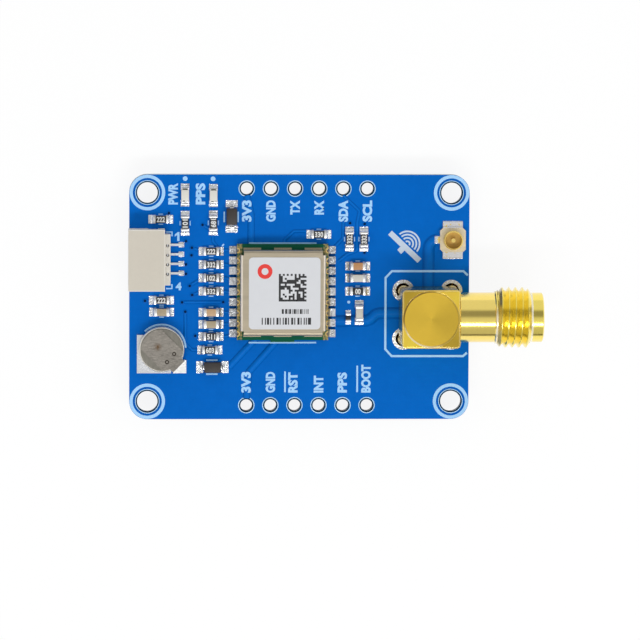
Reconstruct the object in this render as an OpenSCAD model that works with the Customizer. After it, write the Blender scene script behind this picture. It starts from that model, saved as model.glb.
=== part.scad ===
// Satellite receiver breakout board: a blue circuit board with a shielded receiver module,
// a right-angle antenna jack, a small coaxial receptacle, a four-way socket, a backup
// battery and surface-mounted chips. The origin is the middle of the mounting-hole
// pattern on the underside of the board. +X points out of the antenna jack, +Z is up.

/* [Circuit board] */
// Length of the board along X
board_l = 35.8; // [35:0.1:42]
// Width of the board along Y
board_w = 25.8; // [25.2:0.1:32]
// Thickness of the board
board_t = 1.6; // [1:0.1:2.4]
// Distance of each mounting hole from the two edges at its corner
hole_inset = 1.9; // [1.7:0.05:2.4]
// Radius of the finished mounting holes
mount_r = 1.15; // [1:0.05:1.4]
// Width of the bare metal land round a mounting hole
mount_land = 0.16; // [0.08:0.02:0.3]
// Thickness of the metal that lines a hole and forms its land
plating_t = 0.05; // [0.03:0.01:0.1]
// Thickness of a tinned pad on the board
pad_t = 0.05; // [0.03:0.01:0.1]

/* [Header holes] */
// Holes in each row
header_count = 6; // [2:1:7]
// Pitch of the holes along a row
header_pitch = 2.54; // [2:0.02:2.6]
// Distance of each row of holes from its edge of the board
header_inset = 1.47; // [1.2:0.01:2]
// Distance from the left edge of the board to the middle of the rows
header_from_left = 18.68; // [18:0.02:20]
// Radius of the finished header holes
header_r = 0.66; // [0.45:0.01:0.7]
// Width of the land round a header hole
header_land = 0.2; // [0.15:0.01:0.3]

/* [Layout along the board] */
// Share of the free length that lies between the battery and the chip column
column_share = 0.245; // [0.2:0.005:0.3]
// Share of the free length between the chip column and the receiver module
module_share = 0.114; // [0.08:0.002:0.14]
// Share of the free length between the module and the chip cluster by the jack
cluster_share = 0.194; // [0.12:0.002:0.25]

/* [Receiver module] */
// Distance of the middle of the module above the board's centre line
module_y = 0.58; // [0:0.01:1]
// Size of the module board along X
module_l = 9.6; // [9.4:0.05:10]
// Size of the module board along Y
module_w = 10.1; // [9.6:0.05:10.6]
// Thickness of the module board
module_t = 0.8; // [0.6:0.05:1.2]
// Notches on each side of the module board
pin_count = 9; // [3:1:9]
// Pitch of the notches
pin_pitch = 1.1; // [1:0.01:1.1]
// Radius of the gilt hollow in a notch
notch_r = 0.2; // [0.12:0.01:0.24]
// Width of the land round a notch, on top of the module board
notch_land = 0.06; // [0.03:0.01:0.08]
// Width of a pad that a notch is soldered to
module_pad_w = 0.8; // [0.5:0.02:0.9]
// Length of that pad outside the module board
module_pad_out = 0.8; // [0.5:0.01:0.9]
// Length of that pad under the module board
module_pad_under = 0.6; // [0.3:0.05:1]
// Width of the stub left where the module board was broken out of its panel
stub_w = 2.5; // [1:0.1:4]
// Length of that stub
stub_l = 0.2; // [0.1:0.05:0.4]

/* [Module shield and label] */
// Size of the shield along X
shield_l = 8.95; // [8.6:0.01:9.1]
// Size of the shield along Y, without its feet
shield_w = 8.97; // [8.5:0.01:9.3]
// Height of the shield
shield_h = 1.7; // [1.5:0.05:2.2]
// Thickness of the sheet
shield_t = 0.15; // [0.1:0.01:0.2]
// Outer radius of the folds
shield_bend_r = 0.28; // [0.22:0.02:0.4]
// Length cut from both ends of the two walls that carry feet
relief_x = 0.34; // [0.3:0.02:0.6]
// Length cut from both ends of the two plain walls
relief_y = 0.5; // [0.3:0.02:0.8]
// Width of a foot
foot_w = 1.85; // [1.2:0.05:2.2]
// Length that a foot turns outwards
foot_out = 0.2; // [0.1:0.01:0.3]
// Height of the arches between the feet
arch_h = 0.5; // [0.2:0.05:0.8]
// Size of the label along X
label_l = 7.5; // [6:0.05:7.9]
// Size of the label along Y
label_w = 7.55; // [6:0.05:7.9]
// Distance of the label from the middle of the shield along X
label_shift = 0.14; // [0:0.02:0.2]
// Corner radius of the label
label_r = 0.42; // [0.2:0.02:1]
// Thickness of the label
label_t = 0.06; // [0.04:0.01:0.1]

/* [Inside the shield] */
// Side of the receiver chip
receiver_s = 4; // [3:0.1:4.4]
// Height of the receiver chip
receiver_h = 0.6; // [0.4:0.05:0.9]
// Length of the oscillator
oscillator_l = 2; // [1.6:0.1:2.2]
// Width of the oscillator
oscillator_w = 1.6; // [1.2:0.1:1.8]
// Height of the oscillator
oscillator_h = 0.7; // [0.5:0.05:0.9]
// Length of the band filter
filter_l = 1.4; // [1.1:0.1:1.8]
// Width of the band filter
filter_w = 1.1; // [0.9:0.1:1.4]
// Height of the band filter
filter_h = 0.45; // [0.3:0.05:0.7]
// Side of the preamplifier
amplifier_s = 1.1; // [0.9:0.1:1.4]
// Height of the preamplifier
amplifier_h = 0.4; // [0.3:0.05:0.6]

/* [Four-way socket] */
// Length that the socket stands over the left edge of the board
socket_overhang = 0.1; // [0:0.05:0.4]
// Distance of the middle of the socket above the board's centre line
socket_y = 4.02; // [3.6:0.02:4.2]
// Depth of the housing along X, without the ledge behind it
socket_d = 3.8; // [3.4:0.05:4]
// Width of the housing along Y
socket_w = 6.45; // [6.2:0.05:7]
// Height of the housing
socket_h = 2.95; // [2.6:0.05:3.4]
// Depth of the ledge behind the housing
ledge_d = 0.6; // [0.5:0.02:0.7]
// Width of the ledge
ledge_w = 5.34; // [4.2:0.02:6]
// Height of the ledge
ledge_h = 1.75; // [1.6:0.05:2.2]
// Thickness of the side walls
socket_wall = 0.6; // [0.5:0.05:0.8]
// Thickness of the roof and of the floor
socket_roof = 0.5; // [0.4:0.05:0.6]
// Depth of the cavity that the plug goes into
cavity_d = 3; // [2.6:0.05:3.1]
// Side of the square key grooves along the floor of the cavity
key_groove = 0.3; // [0.2:0.02:0.4]
// Number of contacts
contact_count = 4; // [2:1:4]
// Pitch of the contacts
contact_pitch = 1; // [0.9:0.02:1.1]
// Width of a contact
contact_w = 0.24; // [0.16:0.02:0.3]
// Thickness of a contact
contact_t = 0.2; // [0.15:0.01:0.3]
// Height of the contacts above the board inside the cavity
contact_z = 1.2; // [1.1:0.05:1.35]
// Length of a contact inside the cavity
contact_reach = 2.2; // [1:0.1:2.5]
// Length of a contact's tail outside the ledge
tail_l = 1.36; // [0.8:0.02:1.5]
// Length of the pad under the end of a tail
tail_pad = 0.48; // [0.3:0.02:0.7]
// Radius of the sight hole in the ledge above each contact
sight_r = 0.17; // [0.08:0.01:0.18]
// Width of the solder anchors along X
anchor_l = 1; // [0.6:0.05:1.4]
// Height of the solder anchors
anchor_h = 1.5; // [1:0.05:2]
// Thickness of the solder anchors
anchor_t = 0.2; // [0.15:0.01:0.25]

/* [Backup battery] */
// Distance from the left edge of the board to the middle of the cell
battery_from_left = 3.4; // [3.2:0.02:3.8]
// Distance of the middle of the cell above the board's centre line
battery_y = -5.43; // [-5.6:0.02:-5.3]
// Radius of the cell
battery_r = 2.38; // [2.1:0.01:2.45]
// Height of the cell
battery_h = 1.3; // [1:0.05:2]
// Radius of the rounded upper rim of the cell
battery_rim = 0.2; // [0.1:0.02:0.3]
// Radius of the smaller lower pole of the cell
pole_r = 1.8; // [1.4:0.05:2]
// Height of that pole below the can
pole_h = 0.2; // [0.1:0.02:0.3]
// Thickness of the terminal tabs
tab_t = 0.12; // [0.08:0.01:0.2]
// Width of the upper tab where it lies on the cell
tab_w = 3; // [2:0.1:3.4]
// Width of its leg
tab_leg_w = 1.7; // [1.2:0.05:1.8]
// Half the side of the square that the two terminals fill on the board
terminal_half = 2.6; // [2.5:0.02:2.8]
// Side of the three-cornered foot of the upper tab
tab_foot = 1.4; // [1.2:0.02:1.5]
// Width of the lower tab along Y
lower_tab_w = 4.05; // [3:0.05:4.2]
// Length of the lower tab past the middle of the cell
lower_tab_reach = 1; // [0.2:0.05:1]

/* [Antenna jack] */
// Distance from the right edge of the board to the middle of the block
jack_from_right = 4.4; // [4.2:0.02:4.8]
// Distance of the middle of the block above the board's centre line
jack_y = -1.86; // [-2:0.02:-1.6]
// Side of the square block, seen from above
block_s = 6.1; // [5.9:0.05:6.5]
// Height of the block
block_h = 6.1; // [5.8:0.05:6.6]
// Radius of the upright edges of the block
block_r = 0.45; // [0.2:0.05:0.6]
// Width of the bevel round the top of the block
block_bevel = 0.12; // [0.05:0.01:0.15]
// Gap between the board and the block
standoff = 0.4; // [0.3:0.05:0.6]
// Distance between the legs
leg_pitch = 5.08; // [4.9:0.02:5.1]
// Radius of the legs
leg_r = 0.6; // [0.5:0.02:0.65]
// Length of the legs and of the pin below the board
leg_below = 1.4; // [1:0.1:2.2]
// Gap between a leg or the pin and the lining of its hole
leg_play = 0.2; // [0.1:0.01:0.2]
// Width of the land round a jack hole
jack_land = 0.35; // [0.25:0.01:0.37]
// Share of the board's thickness that solder fills round a leg
fill_share = 0.5; // [0.3:0.05:0.9]
// Radius of the round cap in the top of the block
cap_r = 2.8; // [2.5:0.02:2.82]
// Thickness of the cap
cap_t = 0.5; // [0.4:0.05:0.7]
// Depth of the cap below the top of the block, and width of the bevel round it
cap_sink = 0.1; // [0.05:0.01:0.12]
// Width of the seat under the cap
cap_seat = 0.5; // [0.3:0.02:0.5]
// Length of the neck of the barrel
neck_l = 3.75; // [3.2:0.05:4.4]
// Radius of the neck
neck_r = 2.62; // [2.5:0.02:2.65]
// Length of the collar between neck and thread
collar_l = 0.25; // [0.2:0.05:0.8]
// Radius of the collar
collar_r = 2.76; // [2.7:0.02:3]
// Outer radius of the thread
thread_r = 3.175; // [3.1:0.005:3.25]
// Depth of the thread
thread_depth = 0.42; // [0.3:0.01:0.45]
// Pitch of the thread
thread_pitch = 0.7056; // [0.6:0.0001:0.8]
// Turns of the thread
thread_turns = 5; // [4:1:7]
// Length of the plain end of the barrel
nose_l = 1.25; // [1:0.05:2]
// Radius of the plain end
nose_r = 2.6; // [2.58:0.01:2.7]
// Width of the bevel round the plain end
nose_bevel = 0.12; // [0.05:0.01:0.15]
// Length of the spigot that holds the barrel in the block
spigot_l = 1.3; // [1:0.05:1.5]
// Gap between that spigot and the cap above it
spigot_gap = 0.05; // [0.02:0.01:0.2]
// Radius of the insulator in the barrel
insulator_r = 2.06; // [1.9:0.01:2.1]
// Radius of the hollow at the mouth of the barrel
mouth_r = 2.3; // [2.25:0.01:2.4]
// Depth of that hollow
mouth_d = 1.9; // [1.6:0.05:2.2]
// Length that the insulator and the contact stand back from the mouth
recess = 0.15; // [0.05:0.05:0.4]
// Radius of the centre contact
contact_r = 0.635; // [0.58:0.005:0.7]
// Radius of the hole in the end of the centre contact
contact_bore_r = 0.47; // [0.4:0.01:0.5]
// Depth of that hole
contact_bore_d = 2.6; // [2:0.1:3]
// Width of the two slots across the end of the centre contact
contact_slot = 0.18; // [0.1:0.02:0.25]
// Radius of the upright pin
pin_r = 0.45; // [0.4:0.01:0.5]
// Radius of the insulating bead round the pin
bead_r = 1.5; // [1.3:0.05:1.6]

/* [Coaxial receptacle] */
// Distance from the right edge of the board to the middle of the receptacle
coax_from_right = 1.76; // [1.6:0.02:2.2]
// Distance of the middle of the receptacle above the board's centre line
coax_y = 6.05; // [5.6:0.01:6.2]
// Size of the moulded base along X
coax_l = 2.7; // [2.4:0.05:2.8]
// Size of the moulded base along Y
coax_w = 2.55; // [2.4:0.05:2.7]
// Height of the moulded base
coax_h = 0.4; // [0.35:0.01:0.5]
// Length cut off the corners of the base
coax_cut = 0.3; // [0.1:0.02:0.5]
// Outer radius of the shell
shell_r = 1; // [0.92:0.01:1.05]
// Thickness of the shell
shell_t = 0.13; // [0.1:0.01:0.16]
// Height of the shell above the base
shell_h = 0.85; // [0.6:0.05:1.1]
// Depth of the snap groove round the shell
snap_d = 0.05; // [0.03:0.01:0.06]
// Width of the ground tabs
ground_w = 2.1; // [1.6:0.05:2.2]
// Length of the ground tabs beyond the base
ground_out = 0.62; // [0.3:0.02:0.7]
// Thickness of the ground tabs and of the signal tail
strip_t = 0.12; // [0.08:0.01:0.15]
// Radius of the centre post
post_r = 0.22; // [0.15:0.01:0.3]
// Height of the centre post above the base
post_h = 0.6; // [0.4:0.05:0.8]
// Width of the signal tail
signal_w = 0.6; // [0.3:0.02:0.7]
// Length of the signal tail beyond the base
signal_out = 0.45; // [0.3:0.02:0.6]

/* [Chips] */
// Length of a chip
chip_l = 1.6; // [1.5:0.02:1.7]
// Width of a chip
chip_w = 0.8; // [0.7:0.02:0.84]
// Height of a resistor
resistor_h = 0.45; // [0.35:0.01:0.6]
// Height of a capacitor or an inductor
capacitor_h = 0.75; // [0.5:0.01:0.9]
// Length of the metal cap at each end of a chip
chip_cap = 0.26; // [0.2:0.01:0.4]
// Thickness of the metal of those caps
chip_cap_t = 0.02; // [0.01:0.005:0.04]
// Radius of the long edges of a capacitor or an inductor
chip_edge_r = 0.08; // [0.04:0.01:0.12]
// Height of the base of a lamp
lamp_base_h = 0.3; // [0.2:0.02:0.4]
// Height of the lens of a lamp
lamp_lens_h = 0.35; // [0.2:0.02:0.5]
// Length of the lens of a lamp
lamp_lens_l = 1.1; // [0.8:0.02:1.2]
// Radius of the hollow at each end of a lamp's base
lamp_hollow_r = 0.2; // [0.1:0.01:0.3]
// Length of the surge arrester
arrester_l = 1; // [0.9:0.02:1.1]
// Width of the surge arrester
arrester_w = 0.55; // [0.45:0.01:0.6]
// Height of the surge arrester
arrester_h = 0.4; // [0.3:0.01:0.5]
// Length of a chip's pad beyond its end
pad_out = 0.5; // [0.4:0.01:0.55]
// Length of a lamp's pad beyond its end
lamp_pad_out = 0.4; // [0.3:0.01:0.5]
// Width that a pad has over its chip
pad_margin = 0.1; // [0.04:0.01:0.14]
// Length of the surge arrester's pad beyond its end
arrester_pad_out = 0.25; // [0.15:0.01:0.4]

/* [Diodes] */
// Length of a diode's body
diode_l = 1.75; // [1.6:0.05:1.9]
// Width of a diode's body
diode_w = 1.25; // [1.1:0.05:1.4]
// Height of a diode's body
diode_h = 0.9; // [0.7:0.05:1.1]
// Length that the sides of a diode's body lean in
diode_draft = 0.08; // [0.04:0.01:0.12]
// Length over the two leads of a diode
diode_span = 2.55; // [2.45:0.05:2.7]
// Width of a lead
lead_w = 0.4; // [0.25:0.05:0.6]
// Thickness of a lead
lead_t = 0.12; // [0.08:0.01:0.18]
// Length of the flat end of a lead
lead_foot = 0.3; // [0.2:0.01:0.34]
// Length of a diode's pad beyond its lead
diode_pad_out = 0.42; // [0.3:0.01:0.5]
// Width of a diode's pad
diode_pad_w = 1.25; // [0.8:0.05:1.3]

/* [Hidden] */
$fn = 64;
gap = 0.02;
over = 0.5;
low_climb = 0.8;
tall_climb = 0.6;

left_x = -board_l / 2;
right_x = board_l / 2;
mount_x = board_l / 2 - hole_inset;
mount_y = board_w / 2 - hole_inset;
header_x = left_x + header_from_left;
header_y = board_w / 2 - header_inset;
pad_top = board_t + pad_t;

leg_hole_r = leg_r + leg_play;
chip_half = chip_l / 2 + pad_out;
module_half = module_l / 2 + module_pad_out;
battery_reach = battery_from_left + terminal_half;
jack_reach = jack_from_right + leg_pitch / 2 + leg_hole_r + jack_land;
free_l = board_l - battery_reach - 4 * chip_half - 2 * module_half - jack_reach;
column_x = left_x + battery_reach + column_share * free_l + chip_half;
module_x = column_x + chip_half + module_share * free_l + module_half;
cluster_x = module_x + module_half + cluster_share * free_l + chip_half;

module_top = pad_top + module_t;
shield_top = module_top + shield_h;
notch_wall_r = notch_r + plating_t;
feet = [-1, 0, 1];
foot_pitch = (shield_l - 2 * relief_x - foot_w) / 2;
receiver_at = [0.6, 0.4, 0];
oscillator_at = [-2.8, 2.6, 0];
filter_at = [3.1, -3.2, 0];
amplifier_at = [-2.9, -2.7, 0];

socket_x = left_x - socket_overhang;
ledge_end = socket_d + ledge_d;
contact_top = contact_z + contact_t;
leg_in = ledge_d / 2;
cavity_w = socket_w - 2 * socket_wall;
cavity_h = socket_h - 2 * socket_roof;
key_z = socket_roof - key_groove / 2;
anchor_x = (cavity_d + contact_reach) / 2;
anchor_pad = 3 * anchor_t;

battery_x = left_x + battery_from_left;
battery_base = pad_top + tab_t + pole_h;
battery_top = battery_base + battery_h;
tab_bend = battery_r + gap;
tab_turn = -45;

jack_x = right_x - jack_from_right;
block_z = board_t + standoff;
block_top = block_z + block_h;
axis_z = block_z + block_h / 2;
thread_l = thread_turns * thread_pitch;
crest_flat = thread_pitch / 8;
barrel_l = neck_l + collar_l + thread_l + nose_l;
joint_r = cap_r - cap_seat;
joint_floor = axis_z - insulator_r;
insulator_back = contact_r + pin_r;
cap_top = block_top - cap_sink;
spigot_r = cap_top - cap_t - spigot_gap - axis_z;
pin_hole_r = pin_r + leg_play;
leg_fill = board_t * fill_share;

coax_x = right_x - coax_from_right;
shell_in = coax_h / 2;

// Chips: name, kind, place along the board, distance above the board's centre line, turn
// about the vertical
CHIPS = [
    ["resistor_r1", "resistor", left_x + 3.3, 8.2, 0],
    ["resistor_r2", "resistor", left_x + 5.86, 7.78, 90],
    ["resistor_r3", "resistor", column_x + 0.22, 7.82, 90],
    ["resistor_r4", "resistor", column_x, 4.83, 0],
    ["resistor_r5", "resistor", column_x, 3.43, 0],
    ["resistor_r6", "resistor", column_x, 2.03, 0],
    ["resistor_r7", "resistor", column_x, 0.63, 0],
    ["resistor_r8", "resistor", column_x, -4.16, 0],
    ["resistor_r9", "resistor", column_x - 0.12, -5.58, 0],
    ["resistor_r10", "resistor", left_x + 3.38, -0.33, 0],
    ["resistor_r11", "resistor", module_x + 3.82, 6.63, 0],
    ["resistor_r12", "resistor", cluster_x - 0.88, 6.12, 90],
    ["resistor_r13", "resistor", cluster_x + 0.64, 6.12, 90],
    ["resistor_r14", "resistor", cluster_x, 0.63, 0],
    ["capacitor_c1", "capacitor", column_x, -1.6, 0],
    ["capacitor_c2", "capacitor", column_x, -2.87, 0],
    ["capacitor_c3", "capacitor", left_x + 3.4, -1.58, 0],
    ["capacitor_c4", "capacitor", cluster_x, 3.28, 0],
    ["inductor_l1", "capacitor", cluster_x, 2.02, 0],
    ["inductor_l2", "capacitor", cluster_x + 0.17, -1.63, 90],
    ["arrester_d3", "arrester", cluster_x - 0.99, -2.13, 90],
    ["diode_d1", "diode", column_x + 2.15, 8.5, 90],
    ["diode_d2", "diode", column_x + 0.15, -7.39, 0],
    ["power_lamp", "lamp", left_x + 5.85, 10.75, 90],
    ["pulse_lamp", "lamp", column_x + 0.23, 10.7, 90],
];

CONTACTS = [for (i = [1 : contact_count]) str("socket_contact_", i)];

// Helpers

// Rectangle with rounded corners, centred on the origin
module round_rect(l, w, r) {
    square([l - 2 * r, w], center = true);
    square([l, w - 2 * r], center = true);
    for (x = [-1, 1], y = [-1, 1])
        translate([x * (l / 2 - r), y * (w / 2 - r)]) circle(r);
}

// Upright rectangle on the X axis with two rounded upper corners
module arch(l, h, r) {
    translate([-l / 2, 0]) square([l, h - r]);
    translate([r - l / 2, 0]) square([l - 2 * r, h]);
    for (x = [-1, 1])
        translate([x * (l / 2 - r), h - r]) circle(r);
}

// Extrudes a drawing of X and height along Y, centred
module along_y(w) {
    translate([0, w / 2, 0]) rotate([90, 0, 0]) linear_extrude(w) children();
}

// Box that stands on the origin plane, centred in X and Y
module plate(l, w, h) {
    translate([-l / 2, -w / 2, 0]) cube([l, w, h]);
}

// Puts a child at each corner of a rectangle
module corners(l, w) {
    for (x = [-1, 1], y = [-1, 1])
        translate([x * l / 2, y * w / 2, 0]) children();
}

// Points of a hollow quarter arc from (r, 0) to (0, r)
function hollow_arc(r, steps) =
    [for (i = [0 : steps]) let (a = 90 * i / steps) [r * (1 - sin(a)), r * (1 - cos(a))]];

// Tinned pad with solder that climbs the face at x = 0, which looks towards +X
module solder_pad(under, out, w, climb) {
    rise = min(climb, out);
    along_y(w) {
        translate([-under, 0]) square([under + out, pad_t]);
        translate([0, pad_t]) polygon(concat([[0, 0]], hollow_arc(rise, 4)));
    }
}

// Lining of a round hole with a land let into each face of the board
module lining(r, land) {
    rotate_extrude() polygon([
        [r, 0],
        [r + land, 0],
        [r + land, plating_t],
        [r + plating_t, plating_t],
        [r + plating_t, board_t - plating_t],
        [r + land, board_t - plating_t],
        [r + land, board_t],
        [r, board_t],
    ]);
}

// Circuit board

module at_header_holes() {
    for (i = [0 : header_count - 1], y = [-1, 1])
        translate([header_x + (i - (header_count - 1) / 2) * header_pitch, y * header_y, 0])
            children();
}

module at_jack_legs() {
    translate([jack_x, jack_y, 0]) corners(leg_pitch, leg_pitch) children();
}

// Room for a lining: the drilled hole and the two lands
module board_hole(r, land) {
    translate([0, 0, -over]) cylinder(r = r + plating_t, h = board_t + 2 * over);
    translate([0, 0, -over]) cylinder(r = r + land, h = over + plating_t);
    translate([0, 0, board_t - plating_t]) cylinder(r = r + land, h = over + plating_t);
}

module circuit_board() {
    color("#0a5fbe") difference() {
        linear_extrude(board_t) round_rect(board_l, board_w, hole_inset);
        corners(2 * mount_x, 2 * mount_y) board_hole(mount_r, mount_land);
        at_header_holes() board_hole(header_r, header_land);
        at_jack_legs() board_hole(leg_hole_r, jack_land);
        translate([jack_x, jack_y, 0]) board_hole(pin_hole_r, jack_land);
    }
}

module mount_linings() {
    color("#d9dbe0") corners(2 * mount_x, 2 * mount_y) lining(mount_r, mount_land);
}

module header_linings() {
    color("#d9dbe0") at_header_holes() lining(header_r, header_land);
}

module jack_linings() {
    color("#d9dbe0") {
        at_jack_legs() lining(leg_hole_r, jack_land);
        translate([jack_x, jack_y, 0]) lining(pin_hole_r, jack_land);
    }
}

// Receiver module

module on_module(z) {
    translate([module_x, module_y, z]) children();
}

// Puts a child at each notch, on the module's edge with +X pointing outwards
module at_notches() {
    for (side = [0, 1], i = [0 : pin_count - 1])
        mirror([side, 0, 0])
            translate([module_l / 2, (i - (pin_count - 1) / 2) * pin_pitch, 0])
                children();
}

module module_board() {
    color("#1d6b3f") on_module(pad_top) difference() {
        union() {
            plate(module_l, module_w, module_t);
            translate([0, -module_w / 2 - stub_l / 2, 0]) plate(stub_w, stub_l, module_t);
        }
        at_notches() translate([0, 0, -over])
            cylinder(r = notch_wall_r, h = module_t + 2 * over);
    }
}

module notch_lining() {
    difference() {
        union() {
            cylinder(r = notch_wall_r, h = module_t);
            translate([0, 0, module_t]) cylinder(r = notch_wall_r + notch_land, h = plating_t);
        }
        translate([0, 0, -over]) cylinder(r = notch_r, h = module_t + 2 * over);
        translate([0, -over, -over]) cube([over, 2 * over, module_t + 2 * over]);
    }
}

module module_linings() {
    color("#d8b45a") on_module(pad_top) at_notches() notch_lining();
}

// One fold of the sheet: two walls joined by the top, running along Y
module folded_walls(span, run) {
    inner_h = shield_h - shield_t + over;
    along_y(run) difference() {
        arch(span, shield_h, shield_bend_r);
        translate([0, -over]) arch(span - 2 * shield_t, inner_h, shield_bend_r - shield_t);
    }
}

module module_shield() {
    wall_run = shield_l - 2 * relief_x;
    color("#b5a88c") on_module(module_top) {
        folded_walls(shield_l, shield_w - 2 * relief_y);
        difference() {
            rotate([0, 0, 90]) folded_walls(shield_w, wall_run);
            for (x = [-1, 1])
                translate([x * foot_pitch / 2, 0, -over])
                    plate(foot_pitch - foot_w, shield_w + 2 * over, arch_h + over);
        }
        for (x = feet, y = [-1, 1])
            translate([x * foot_pitch, y * (shield_w - shield_t + foot_out) / 2, 0])
                plate(foot_w, foot_out + shield_t, shield_t);
    }
}

module module_label() {
    color("#eef0f4") on_module(shield_top) translate([label_shift, 0, 0])
        linear_extrude(label_t) round_rect(label_l, label_w, label_r);
}

module receiver_chip() {
    color("#2b2b2e") on_module(module_top) translate(receiver_at)
        plate(receiver_s, receiver_s, receiver_h);
}

module oscillator() {
    color("#b9b9b4") on_module(module_top) translate(oscillator_at)
        plate(oscillator_l, oscillator_w, oscillator_h);
}

module band_filter() {
    color("#c9bfa5") on_module(module_top) translate(filter_at)
        plate(filter_l, filter_w, filter_h);
}

module preamplifier() {
    color("#2b2b2e") on_module(module_top) translate(amplifier_at)
        plate(amplifier_s, amplifier_s, amplifier_h);
}

module module_solder() {
    color("#d9dbe0") on_module(board_t) at_notches()
        solder_pad(module_pad_under, module_pad_out, module_pad_w, notch_r + module_t / 4);
}

// Four-way socket

module on_socket() {
    translate([socket_x, socket_y, board_t]) children();
}

function contact_y(i) = ((contact_count - 1) / 2 - i) * contact_pitch;

// Side view of a contact: the blade in the cavity, the leg in the ledge and the tail on its pad
module contact_outline() {
    blade_start = cavity_d - contact_reach;
    leg_x = socket_d + leg_in - contact_t / 2;
    tail_end = ledge_end + tail_l;
    polygon([
        [blade_start, contact_z],
        [leg_x, contact_z],
        [leg_x, pad_t],
        [tail_end, pad_t],
        [tail_end, pad_t + contact_t],
        [leg_x + contact_t, pad_t + contact_t],
        [leg_x + contact_t, contact_top],
        [blade_start, contact_top],
    ]);
}

module contact(i) {
    on_socket() translate([0, contact_y(i), 0]) along_y(contact_w) contact_outline();
}

module socket_contact(i) {
    color("#d4cfc0") contact(i);
}

// One anchor: an upright blade in the side wall and a foot turned in under the housing
module anchor() {
    translate([anchor_x, socket_w / 2, pad_t]) {
        translate([0, -anchor_t / 2, 0]) plate(anchor_l, anchor_t, anchor_h);
        translate([0, -anchor_pad / 2, 0]) plate(anchor_l, anchor_pad, anchor_t);
    }
}

module socket_anchors() {
    color("#d9dbe0") on_socket() for (side = [0, 1])
        mirror([0, side, 0]) anchor();
}

module socket_housing() {
    color("#d8d0bd") difference() {
        on_socket() difference() {
            union() {
                translate([socket_d / 2, 0, 0]) plate(socket_d, socket_w, socket_h);
                translate([ledge_end / 2, 0, 0]) plate(ledge_end, ledge_w, ledge_h);
            }
            translate([cavity_d / 2 - over, 0, socket_roof])
                plate(cavity_d + 2 * over, cavity_w, cavity_h);
            for (y = [-1, 1])
                translate([cavity_d / 2 - over, y * (cavity_w - key_groove) / 2, key_z])
                    plate(cavity_d + 2 * over, key_groove, key_groove);
            for (i = [0 : contact_count - 1])
                translate([socket_d + leg_in, contact_y(i), contact_z])
                    cylinder(r = sight_r, h = ledge_h);
            for (y = [-1, 1])
                translate([anchor_x, y * (socket_w - anchor_pad) / 2, -over])
                    plate(anchor_l, anchor_pad, over + pad_t);
            for (side = [0, 1])
                mirror([0, side, 0]) anchor();
        }
        for (i = [0 : contact_count - 1]) {
            contact(i);
            on_socket() translate([socket_d + leg_in - contact_t / 2, contact_y(i) - contact_w / 2, -over])
                cube([over + ledge_d, contact_w, over + pad_t]);
        }
    }
}

// Backup battery

module on_battery(z) {
    translate([battery_x, battery_y, z]) children();
}

module battery_cell() {
    color("#b3aea6") on_battery(battery_base) {
        rotate_extrude() intersection() {
            translate([0, -over]) square([battery_r, battery_h + over]);
            union() {
                square([battery_r, battery_h - battery_rim]);
                square([battery_r - battery_rim, battery_h]);
                translate([battery_r - battery_rim, battery_h - battery_rim]) circle(battery_rim);
            }
        }
        translate([0, 0, -pole_h]) cylinder(r = pole_r, h = pole_h);
    }
}

// Side view of the leg: out over the rim and down the side of the cell
module tab_leg_outline() {
    top = battery_top - pad_top;
    polygon([
        [0, top],
        [tab_bend, top],
        [tab_bend, 0],
        [tab_bend + tab_t, 0],
        [tab_bend + tab_t, top + tab_t],
        [0, top + tab_t],
    ]);
}

// Foot of the upper tab, seen from above: the corner of the terminals' square outside the leg
module tab_foot_outline() {
    intersection() {
        translate([terminal_half - tab_foot, -terminal_half]) square(tab_foot);
        rotate(tab_turn) translate([tab_bend, -terminal_half]) square(2 * terminal_half);
    }
}

module battery_upper_tab() {
    flat_r = battery_r - battery_rim;
    color("#bcb6ac") {
        on_battery(battery_top) rotate([0, 0, tab_turn]) linear_extrude(tab_t) intersection() {
            circle(flat_r);
            square([2 * battery_r, tab_w], center = true);
        }
        on_battery(pad_top) rotate([0, 0, tab_turn]) along_y(tab_leg_w) tab_leg_outline();
        on_battery(pad_top) linear_extrude(tab_t) tab_foot_outline();
    }
}

// Lower tab, seen from above: a strip under the cell that runs out to the left
module lower_tab_outline() {
    translate([-terminal_half, -terminal_half])
        square([terminal_half + lower_tab_reach, lower_tab_w]);
}

module battery_lower_tab() {
    color("#c9c6c0") on_battery(pad_top) linear_extrude(tab_t) lower_tab_outline();
}

// Antenna jack

module on_jack(z) {
    translate([jack_x, jack_y, z]) children();
}

// Turns a revolved piece so that its axis runs along +X from the block's face
module on_barrel() {
    on_jack(axis_z) translate([block_s / 2, 0, 0]) rotate([0, 90, 0]) children();
}

module jack_block() {
    color("#d9b24a") difference() {
        union() {
            on_jack(block_z) {
                linear_extrude(block_h - block_bevel) round_rect(block_s, block_s, block_r);
                translate([0, 0, block_h - block_bevel]) intersection() {
                    linear_extrude(block_bevel) round_rect(block_s, block_s, block_r);
                    bevelled_top();
                }
            }
            at_jack_legs() translate([0, 0, -leg_below])
                cylinder(r = leg_r, h = leg_below + block_z + over);
        }
        cap_recess();
        on_jack(joint_floor) cylinder(r = joint_r, h = cap_top - joint_floor);
        on_jack(block_z - over) cylinder(r = bead_r, h = joint_floor - block_z + 2 * over);
        on_barrel() translate([0, 0, -spigot_l]) cylinder(r = spigot_r, h = spigot_l + over);
        on_barrel() translate([0, 0, -block_s / 2]) cylinder(r = insulator_r, h = block_s / 2);
    }
}

// The bevelled slab at the top of the block
module bevelled_top() {
    intersection() {
        along_y(block_s) polygon(bevel_points());
        rotate([0, 0, 90]) along_y(block_s) polygon(bevel_points());
    }
}

function bevel_points() = [
    [-block_s / 2, 0],
    [block_s / 2, 0],
    [block_s / 2 - block_bevel, block_bevel],
    [block_bevel - block_s / 2, block_bevel],
];

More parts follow.
